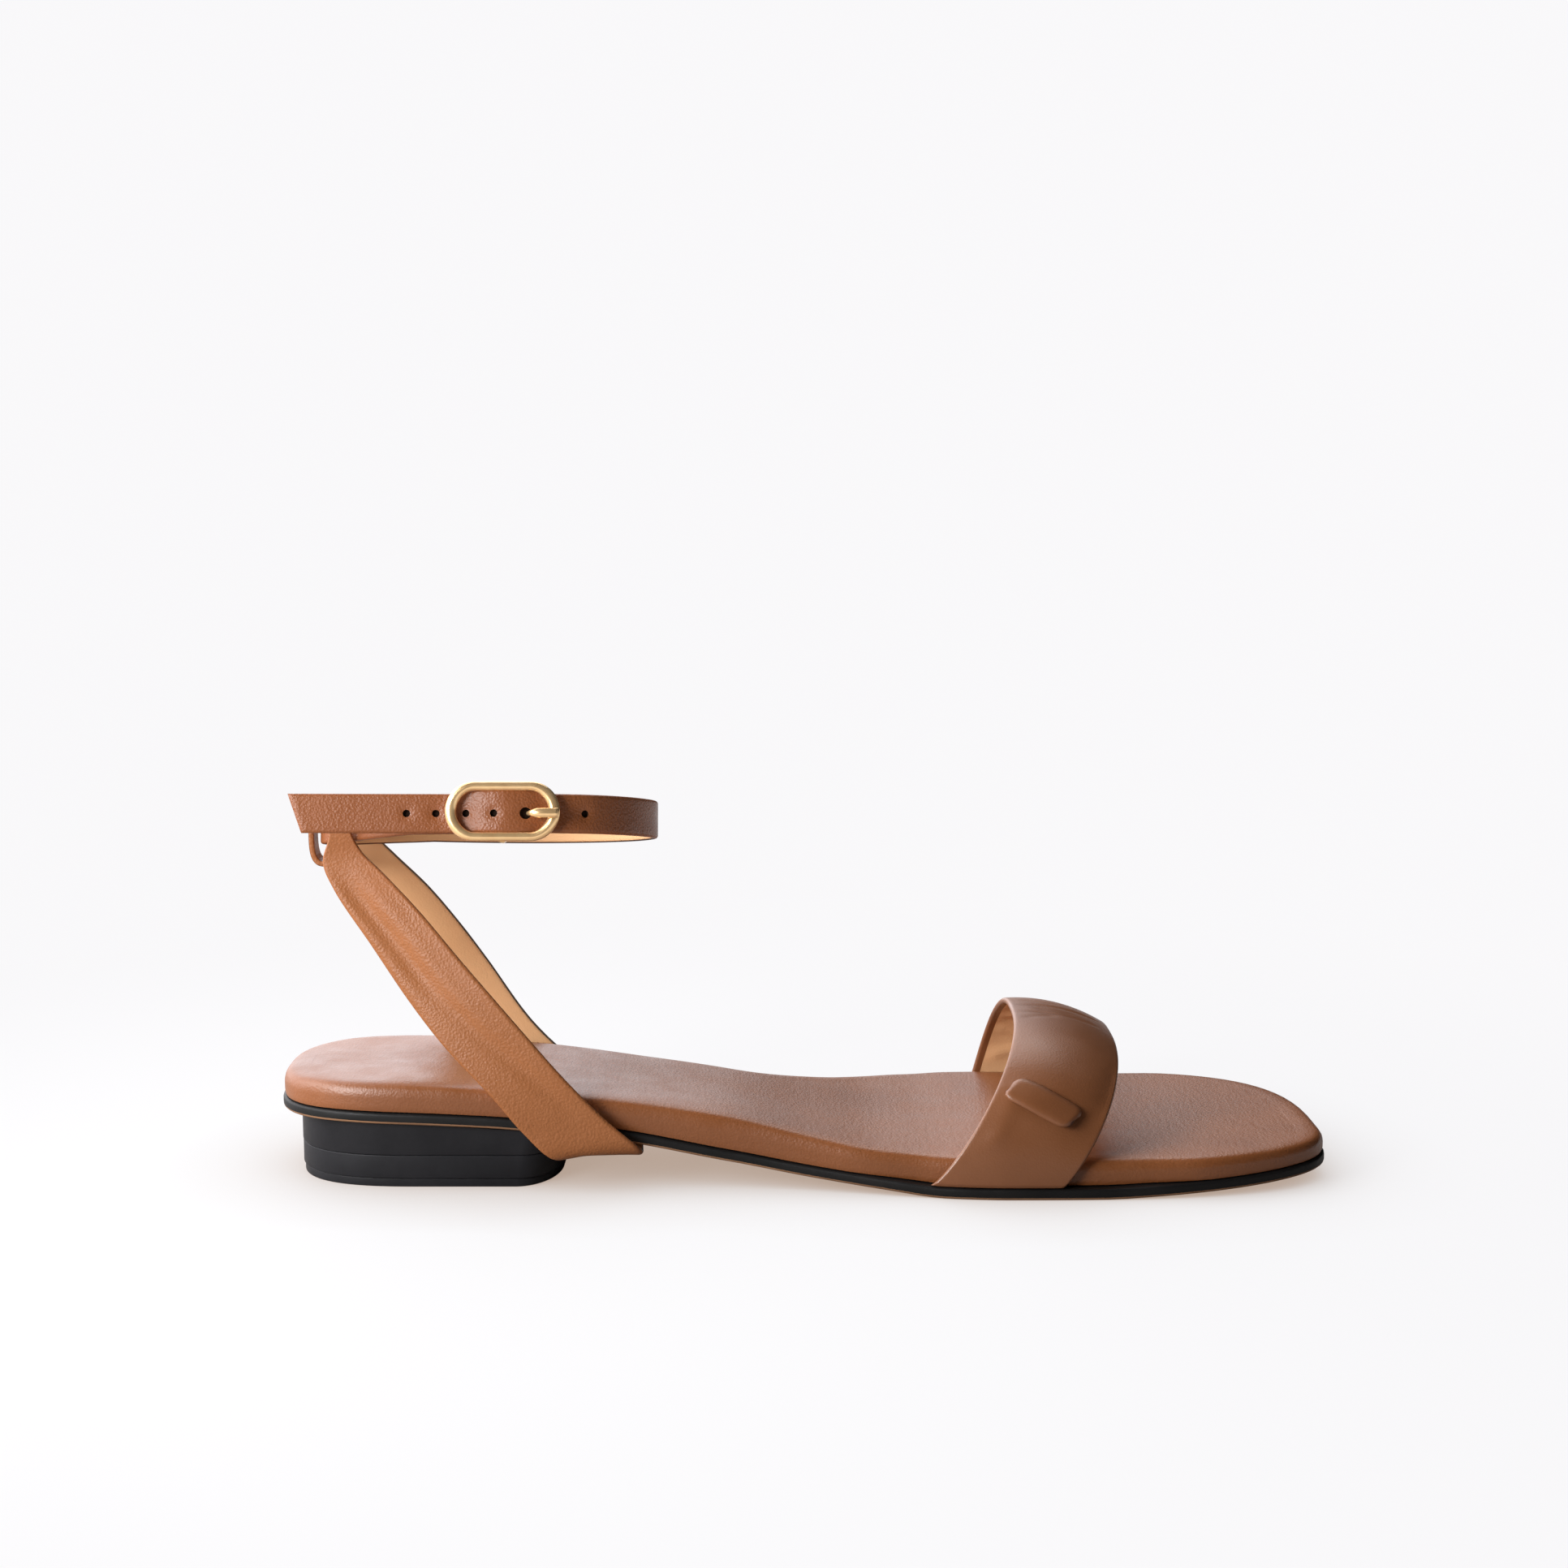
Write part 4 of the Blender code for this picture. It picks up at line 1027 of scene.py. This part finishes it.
def make_toe_band():
    margin = BAND_THICK / 2 / BAND_LENGTH
    shares = edge_columns(BAND_STEPS_ALONG, margin)
    grid = [[band_point(band_share(i), s) for s in shares] for i in range(BAND_STEPS_AROUND + 1)]
    look = StrapLook(BAND_THICK, margin, flip=True, edge_faces=BAND_EDGE_FACES,
                     outer_creases=BAND_CREASES, inner_creases=BAND_LINING_CREASES)
    mesh = strap_mesh("toe_band_leather", grid, shares, look)
    faces = ("band_leather", "lining_leather", "band_leather")
    add_piece("toe_band_leather", mesh, faces, "toe_band")


def tab_taper(share):
    """Rounded ends of the bar."""
    end = 2 * abs(share - 0.5)
    into_end = max(0.0, end - 1.0 + TAB_END_SHARE) / TAB_END_SHARE
    return TAB_END_WIDTH + (1.0 - TAB_END_WIDTH) * superellipse(into_end, ELLIPSE)


def make_band_tab():
    """Short slanted bar, laid on the band by the band's own function."""
    centre = band_point(TAB_AROUND, TAB_ALONG)
    per_around = (band_point(TAB_AROUND + TAB_PROBE, TAB_ALONG) - centre).length / TAB_PROBE
    per_along = (band_point(TAB_AROUND, TAB_ALONG + TAB_PROBE) - centre).length / TAB_PROBE
    lift = BAND_THICK / 2 + GAP + TAB_THICK / 2
    shares = edge_columns(TAB_COLUMNS, TAB_MARGIN)
    grid = []
    for i in range(TAB_STEPS + 1):
        reach = TAB_LENGTH * (i / TAB_STEPS - 0.5)
        row = []
        for share in shares:
            width = TAB_WIDTH * (share - 0.5) * tab_taper(i / TAB_STEPS)
            fore = reach * math.cos(TAB_SLANT) + width * math.sin(TAB_SLANT)
            up = width * math.cos(TAB_SLANT) - reach * math.sin(TAB_SLANT)
            stand = lift + TAB_STAND * (0.5 - share)
            row.append(band_point(TAB_AROUND + up / per_around, TAB_ALONG + fore / per_along, stand))
        grid.append(row)
    mesh = strap_mesh("band_tab_leather", grid, shares, StrapLook(TAB_THICK, TAB_MARGIN))
    # the bar's underside and edges in dark edge leather, as painted shade where it stands off the band
    faces = ("band_leather", "dark_edge_and_painted_shade", "dark_edge_and_painted_shade")
    add_piece("band_tab_leather", mesh, faces, "band_tab")


# Heel sling


def both_arms(x_column, z_column):
    """One edge of the sling: down the near arm, under the sole and up the far arm."""
    near, far = [], []
    for rung in SLING_RUNGS:
        x, z = getattr(rung, x_column), getattr(rung, z_column)
        near.append(Vector((x, rung.y, z)))
        far.append(Vector((x + rung.far_shift, 2 * SOLE_AXIS_Y - rung.y, z)))
    return near[::-1] + far[1:]


def loop_half_width(x, z):
    """The loop is wide in front under the strap, where it meets the arms, and narrow elsewhere."""
    forward = min(max((x - SADDLE_X) / SADDLE_FADE, 0.0), 1.0)
    low = min(max((SADDLE_Z - z) / SADDLE_FADE + 1.0, 0.0), 1.0)
    return LOOP_HALF_WIDTH + (SADDLE_HALF_WIDTH - LOOP_HALF_WIDTH) * forward * low


def loop_grid(shares):
    grid = []
    power = 2.0 / LOOP_ROUNDNESS
    for i in range(LOOP_STEPS):
        angle = 2 * math.pi * i / LOOP_STEPS
        c, s = math.cos(angle), math.sin(angle)
        x = LOOP_X + LOOP_HALF_X * math.copysign(abs(c) ** power, c)
        z = LOOP_Z + LOOP_HALF_Z * math.copysign(abs(s) ** power, s)
        half = loop_half_width(x, z)
        grid.append([Vector((x, SOLE_AXIS_Y + half * (2 * share - 1), z)) for share in shares])
    return grid


def make_heel_sling():
    margin = SLING_THICK / 2 / SLING_WIDTH
    shares = edge_columns(SLING_COLUMNS, margin)
    rear = smooth_path(both_arms("rear_x", "rear_z"), SLING_STEPS)
    front = smooth_path(both_arms("front_x", "front_z"), SLING_STEPS)
    grid = [[a.lerp(b, share) for share in shares] for a, b in zip(rear, front)]
    look = StrapLook(SLING_THICK, margin, outer_creases=SLING_CREASES)
    arms = strap_mesh("sling_arms", grid, shares, look)
    loop_shares = edge_columns(LOOP_COLUMNS, margin)
    loop_look = StrapLook(LOOP_THICK, margin, closed=True, slots=LOOP_SLOTS)
    loop = strap_mesh("sling_loop", loop_grid(loop_shares), loop_shares, loop_look)
    mesh = join_meshes("heel_sling_leather", (arms, loop))
    # the fourth material darkens the loop's inside as painted shade
    faces = ("sling_leather", "lining_leather", "painted_edge", "dark_edge_and_painted_shade")
    add_piece("heel_sling_leather", mesh, faces, "heel_sling")


# Ankle strap and buckle


def on_tilt(x, y, up, dip=0.0):
    """Point of the tilted strap plane, with its height measured across the strap."""
    level = STRAP_LEVEL_Z - math.tan(STRAP_TILT) * (y - SOLE_AXIS_Y) - dip
    return Vector((x, y + up * math.sin(STRAP_TILT), level + up * math.cos(STRAP_TILT)))


def strap_line():
    return smooth_path([Vector((s.x, s.y, 0.0)) for s in STRAP_ROUTE], STRAP_STEPS)


def outer_run_start(line):
    return int(len(line) * OUTER_RUN_SHARE)


def strap_grid(line, shares):
    step = (line[1] - line[0]).length
    outer_start = outer_run_start(line)
    grid = []
    for i, p in enumerate(line):
        to_end = (len(line) - 1 - i) * step
        pull = max(0.0, 1.0 - to_end / END_SLANT_REACH)
        behind, ahead = neighbours(line, i, False)
        along = (ahead - behind).normalized()
        inner = 1.0 if i < outer_start else 0.0
        into_frame = min(abs(p.x - BAR_X) / STRAP_SWELL_REACH, 1.0)
        swell = STRAP_SWELL * (1.0 - inner) * superellipse(into_frame, STRAP_SWELL_ROUNDNESS)
        dip = STRAP_DIP * inner * min(max((STRAP_DIP_X - p.x) / STRAP_DIP_REACH, 0.0), 1.0)
        row = []
        for share in shares:
            q = p - along * (END_SLANT * pull * (1.0 - share))
            row.append(on_tilt(q.x, q.y, STRAP_WIDTH * (share - 0.5) + swell * share, dip))
        grid.append(row)
    return grid


def strap_hole_places(line):
    """Where the holes lie on the strap: a row at an even pitch, set by the prong's hole."""
    step = (line[1] - line[0]).length
    outer = range(outer_run_start(line), len(line))
    prong_index = min(outer, key=lambda i: abs(line[i].x - PRONG_HOLE_X))
    places = []
    for k in range(HOLE_COUNT):
        index = prong_index + round((PRONG_HOLE_PLACE - k) * HOLE_PITCH / step)
        along = (line[index + 1] - line[index - 1]).normalized()
        places.append((line[index], along))
    return places


def cutter_object(name, work):
    mesh = mesh_of(name, work)
    # the cut walls take the near-black painted shade
    mesh.materials.append(materials["hole_painted_shade"])
    return add_object(name, mesh)


def hole_cutters(line):
    cutters = []
    for k, (place, along) in enumerate(strap_hole_places(line)):
        radius = PRONG_HOLE_RADIUS if k == PRONG_HOLE_PLACE else HOLE_RADIUS
        work = bmesh.new()
        bmesh.ops.create_cone(work, cap_ends=True, segments=HOLE_SIDES, radius1=radius * MM,
                              radius2=radius * MM, depth=2 * STRAP_THICK * MM)
        cutter = cutter_object(f"hole_{k}", work)
        out = Vector((-along.y, along.x, 0.0)).normalized()
        out = Vector((out.x, out.y, -math.tan(STRAP_TILT) * out.y)).normalized()
        middle = on_tilt(place.x, place.y, 0.0)
        cutter.location = placed(middle + out * (STRAP_THICK / 2 + HOLE_FLOOR))
        cutter.rotation_mode = "QUATERNION"
        cutter.rotation_quaternion = Vector((0.0, 0.0, 1.0)).rotation_difference(out)
        cutters.append(cutter)
    return cutters


def slot_cutter():
    """Slot in the fold round the bar, which leaves room for the prong's eye."""
    work = bmesh.new()
    bmesh.ops.create_cube(work, size=1.0)
    reach = FOLD_RADIUS + STRAP_THICK
    size = Vector((SLOT_LENGTH, 2 * reach - GAP, 2 * SLOT_HALF_WIDTH)) * MM
    bmesh.ops.scale(work, vec=size, verts=work.verts)
    cutter = cutter_object("fold_slot", work)
    cutter.location = placed(on_tilt(BAR_X, BAR_Y + SLOT_SHIFT, 0.0))
    cutter.rotation_euler = (-STRAP_TILT, 0.0, 0.0)
    return cutter


def cut_mesh(name, mesh, material_names, cutters):
    """The mesh with every cutter taken out, its cut walls in the cutters' material."""
    for key in material_names:
        mesh.materials.append(materials[key])
    whole = add_object(name + "_whole", mesh)
    for cutter in cutters:
        modifier = whole.modifiers.new(cutter.name, "BOOLEAN")
        modifier.operation = "DIFFERENCE"
        modifier.solver = "EXACT"
        modifier.material_mode = "TRANSFER"
        modifier.object = cutter
    bpy.context.view_layer.update()
    evaluated = whole.evaluated_get(bpy.context.evaluated_depsgraph_get())
    result = bpy.data.meshes.new_from_object(evaluated)
    for old in [whole] + cutters:
        bpy.data.objects.remove(old)
    return result


def make_ankle_strap():
    line = strap_line()
    holes = [on_tilt(place.x, place.y, 0.0) for place, along in strap_hole_places(line)]
    outer_length = (line[1] - line[0]).length * outer_run_start(line)

    def dimple(point, length):
        if length < outer_length:
            return 0.0
        nearest = min((point - hole).length for hole in holes)
        return -HOLE_DIMPLE * math.exp(-(nearest / HOLE_DIMPLE_REACH) ** 2)

    margin = STRAP_THICK / 2 / STRAP_WIDTH
    shares = edge_columns(STRAP_COLUMNS, margin)
    look = StrapLook(STRAP_THICK, margin, flip=True)
    mesh = strap_mesh("ankle_strap_leather", strap_grid(line, shares), shares, look, dimple)
    cutters = hole_cutters(line) + [slot_cutter()]
    faces = ("strap_leather", "lining_leather", "dark_edge_and_painted_shade")
    cut = cut_mesh("ankle_strap_leather", mesh, faces, cutters)
    add_piece("ankle_strap_leather", cut, (), "ankle_strap")


tilt_out = Vector((0.0, -math.cos(STRAP_TILT), math.sin(STRAP_TILT)))
tilt_up = Vector((0.0, math.sin(STRAP_TILT), math.cos(STRAP_TILT)))


def frame_outline():
    """Outer edge of the buckle's oblong: each point, and the way out from it."""
    radius = FRAME_HEIGHT / 2
    half_straight = FRAME_LENGTH / 2 - radius
    rows = []
    for side in (1, -1):
        for i in range(FRAME_ARC_STEPS + 1):
            angle = math.pi * (i / FRAME_ARC_STEPS - 0.5)
            out_x, out_up = side * math.cos(angle), side * math.sin(angle)
            rows.append((side * half_straight + radius * out_x, radius * out_up, out_x, out_up))
        for i in range(1, FRAME_STRAIGHT_STEPS):
            share = 1 - 2 * i / FRAME_STRAIGHT_STEPS
            rows.append((side * half_straight * share, side * radius, 0.0, side))
    return rows


def make_buckle_frame():
    centres, half_widths = [], []
    for x, up, out_x, out_up in frame_outline():
        half = (FRAME_SIDE_WIDTH + (FRAME_END_WIDTH - FRAME_SIDE_WIDTH) * smoothstep(abs(out_x))) / 2
        centres.append(on_tilt(BAR_X + x - out_x * half, FRAME_Y, up - out_up * half + FRAME_RAISE))
        half_widths.append(half)
    half_depths = [FRAME_HALF_DEPTH] * len(centres)
    oblong = swept_mesh("buckle_oblong", centres, half_widths, half_depths, tilt_out, True)
    reach = FRAME_HEIGHT / 2 - FRAME_RADIUS
    upper = [on_tilt(BAR_X, bend.y, reach - bend.inward) for bend in BAR_BENDS]
    lower = [on_tilt(BAR_X, bend.y, bend.inward - reach) for bend in BAR_BENDS[::-1]]
    bar_line = smooth_path(upper + lower, BAR_STEPS)
    across = Vector((1.0, 0.0, 0.0))
    bar_radii = [BAR_RADIUS] * len(bar_line)
    bar = swept_mesh("buckle_bar", bar_line, bar_radii, bar_radii, across, False)
    mesh = join_meshes("buckle_frame_gold", (oblong, bar))
    add_piece("buckle_frame_gold", mesh, ("gold_plating",), "buckle_frame")


def make_buckle_prong():
    """Wire with an open eye round the bar, through its hole and over the end of the frame."""
    line = []
    for i in range(PRONG_EYE_STEPS):
        angle = PRONG_EYE_START + PRONG_EYE_TURN * i / PRONG_EYE_STEPS
        x = BAR_X - PRONG_EYE_RADIUS * math.cos(angle)
        y = BAR_Y - PRONG_EYE_RADIUS * math.sin(angle)
        line.append(Vector((x, y, 0.0)))
    line += [Vector((spot.x, spot.y, 0.0)) for spot in PRONG_ROUTE]
    points = smooth_path(line, PRONG_STEPS)
    lengths = running_lengths(points)
    radii, heights = [], []
    for point, length in zip(points, lengths):
        into_tip = max(0.0, 1.0 - (lengths[-1] - length) / PRONG_TIP_ROUND)
        radii.append(PRONG_RADIUS * max(PRONG_TIP_LEFT, superellipse(into_tip, ELLIPSE)))
        widening = smoothstep((point.x - PRONG_HOLE_X - PRONG_RADIUS) / PRONG_WIDENING)
        heights.append(PRONG_NECK_HEIGHT + (PRONG_HALF_HEIGHT - PRONG_NECK_HEIGHT) * widening)
    wire = [on_tilt(p.x, p.y, 0.0) for p in points]
    mesh = swept_mesh("buckle_prong_gold", wire, radii, heights, tilt_up, False)
    add_piece("buckle_prong_gold", mesh, ("gold_plating",), "buckle_prong")


# Stage, light and camera


FLOOR_RADIUS = 14.0
FLOOR_SIDES = 96
FLOOR_COLOUR = (0.12, 0.12, 0.12, 1.0)
FLOOR_BOUNCE = (0.34, 0.31, 0.285, 1.0)    # a duller floor for the light that it throws back up
FLOOR_LIT = (0.79, 0.785, 0.795, 1.0)
FLOOR_SHADE = (0.45, 0.34, 0.27, 1.0)      # close under the shoe
FLOOR_SHADE_REACH = 0.036
FLOOR_ROUGHNESS = 0.85
FLOOR_SPECULAR = 0.1
FLOOR_BLEND = (0.1, 0.34)      # between these distances the floor turns into the plain backdrop
BACKDROP = (0.95, 0.942, 0.955, 1.0)
SKY_LOW = (0.02, 0.02, 0.02, 1.0)
SKY_HIGH = (2.6, 2.57, 2.68, 1.0)
SKY_BRIGHT_WAY = Vector((-0.75, 0.6, 0.4))
SKY_RANGE = (0.51, 0.75)
Lamp = namedtuple("Lamp", "name place aim size power")
LAMPS = (
    Lamp("key", (-0.36, -0.36, 0.20), (-0.07, 0.0, 0.05), 0.2, 2.35),
    Lamp("side", (-0.55, -0.15, 0.35), (-0.06, 0.0, 0.05), 0.4, 2.2),
    Lamp("back", (0.10, 0.42, 0.72), (0.06, 0.0, 0.03), 0.4, 1.0),
)
CAMERA_PLACE = (-0.00425, -0.60125, 0.172)
CAMERA_DOWN = math.radians(7.698)
CAMERA_LENS = 57.35
CAMERA_SENSOR = 36.0


def camera_ray(tree):
    return tree.nodes.new("ShaderNodeLightPath").outputs["Is Camera Ray"]


def floor_material():
    """Pale paper, shaded close under the shoe, that turns into the backdrop further out."""
    material, tree, shader, places = new_material("floor_paper")
    seen = camera_ray(tree)
    tone = mixed_colour(tree, seen, FLOOR_BOUNCE, FLOOR_COLOUR)
    tree.links.new(tone, shader.inputs["Base Color"])
    cover = node_with(tree, "ShaderNodeAmbientOcclusion", Distance=FLOOR_SHADE_REACH)
    glow = mixed_colour(tree, cover.outputs["AO"], FLOOR_SHADE, FLOOR_LIT)
    tree.links.new(glow, shader.inputs["Emission Color"])
    tree.links.new(seen, shader.inputs["Emission Strength"])
    shader.inputs["Roughness"].default_value = FLOOR_ROUGHNESS
    shader.inputs["Specular IOR Level"].default_value = FLOOR_SPECULAR
    distance = node_with(tree, "ShaderNodeVectorMath", operation="LENGTH")
    tree.links.new(places["Object"], distance.inputs[0])
    blend = mapped(tree, distance.outputs["Value"], FLOOR_BLEND, interpolation_type="SMOOTHSTEP")
    far = node_with(tree, "ShaderNodeEmission", Color=BACKDROP)
    show_mix(tree, blend, shader.outputs["BSDF"], far.outputs["Emission"], "Material Output")
    return material


def make_floor():
    work = bmesh.new()
    bmesh.ops.create_circle(work, cap_ends=True, segments=FLOOR_SIDES, radius=FLOOR_RADIUS)
    mesh = mesh_of("floor", work)
    mesh.materials.append(floor_material())
    floor = add_object("floor", mesh)


def make_world():
    """Soft surround, brightest above and behind on the left, seen as one plain backdrop."""
    world = bpy.data.worlds.new("soft_surround")
    world.use_nodes = True
    tree = world.node_tree
    facing = node_with(tree, "ShaderNodeVectorMath", operation="DOT_PRODUCT")
    tree.links.new(tree.nodes.new("ShaderNodeTexCoord").outputs["Generated"], facing.inputs[0])
    facing.inputs[1].default_value = SKY_BRIGHT_WAY.normalized()
    brightness = mapped(tree, facing.outputs["Value"], SKY_RANGE)
    background = tree.nodes["Background"]
    tree.links.new(mixed_colour(tree, brightness, SKY_LOW, SKY_HIGH), background.inputs["Color"])
    plain = node_with(tree, "ShaderNodeBackground", Color=BACKDROP)
    lights, seen = background.outputs["Background"], plain.outputs["Background"]
    show_mix(tree, camera_ray(tree), lights, seen, "World Output")
    scene.world = world


def make_lamps():
    for lamp in LAMPS:
        light = bpy.data.lights.new(lamp.name, "AREA")
        light.size = lamp.size
        light.energy = lamp.power
        source = add_object(lamp.name, light)
        source.location = lamp.place
        way = Vector(lamp.aim) - Vector(lamp.place)
        source.rotation_euler = way.to_track_quat("-Z", "Y").to_euler()


def make_camera():
    lens = bpy.data.cameras.new("camera")
    lens.sensor_fit = "HORIZONTAL"
    lens.sensor_width = CAMERA_SENSOR
    lens.lens = CAMERA_LENS
    camera = add_object("camera", lens)
    camera.location = CAMERA_PLACE
    camera.rotation_euler = (math.pi / 2 - CAMERA_DOWN, 0.0, 0.0)
    scene.camera = camera


make_outsole()
make_footbed()
make_heel()
make_toe_band()
make_band_tab()
make_heel_sling()
make_ankle_strap()
make_buckle_frame()
make_buckle_prong()
make_floor()
make_world()
make_lamps()
make_camera()
scene.view_settings.view_transform = "Standard"
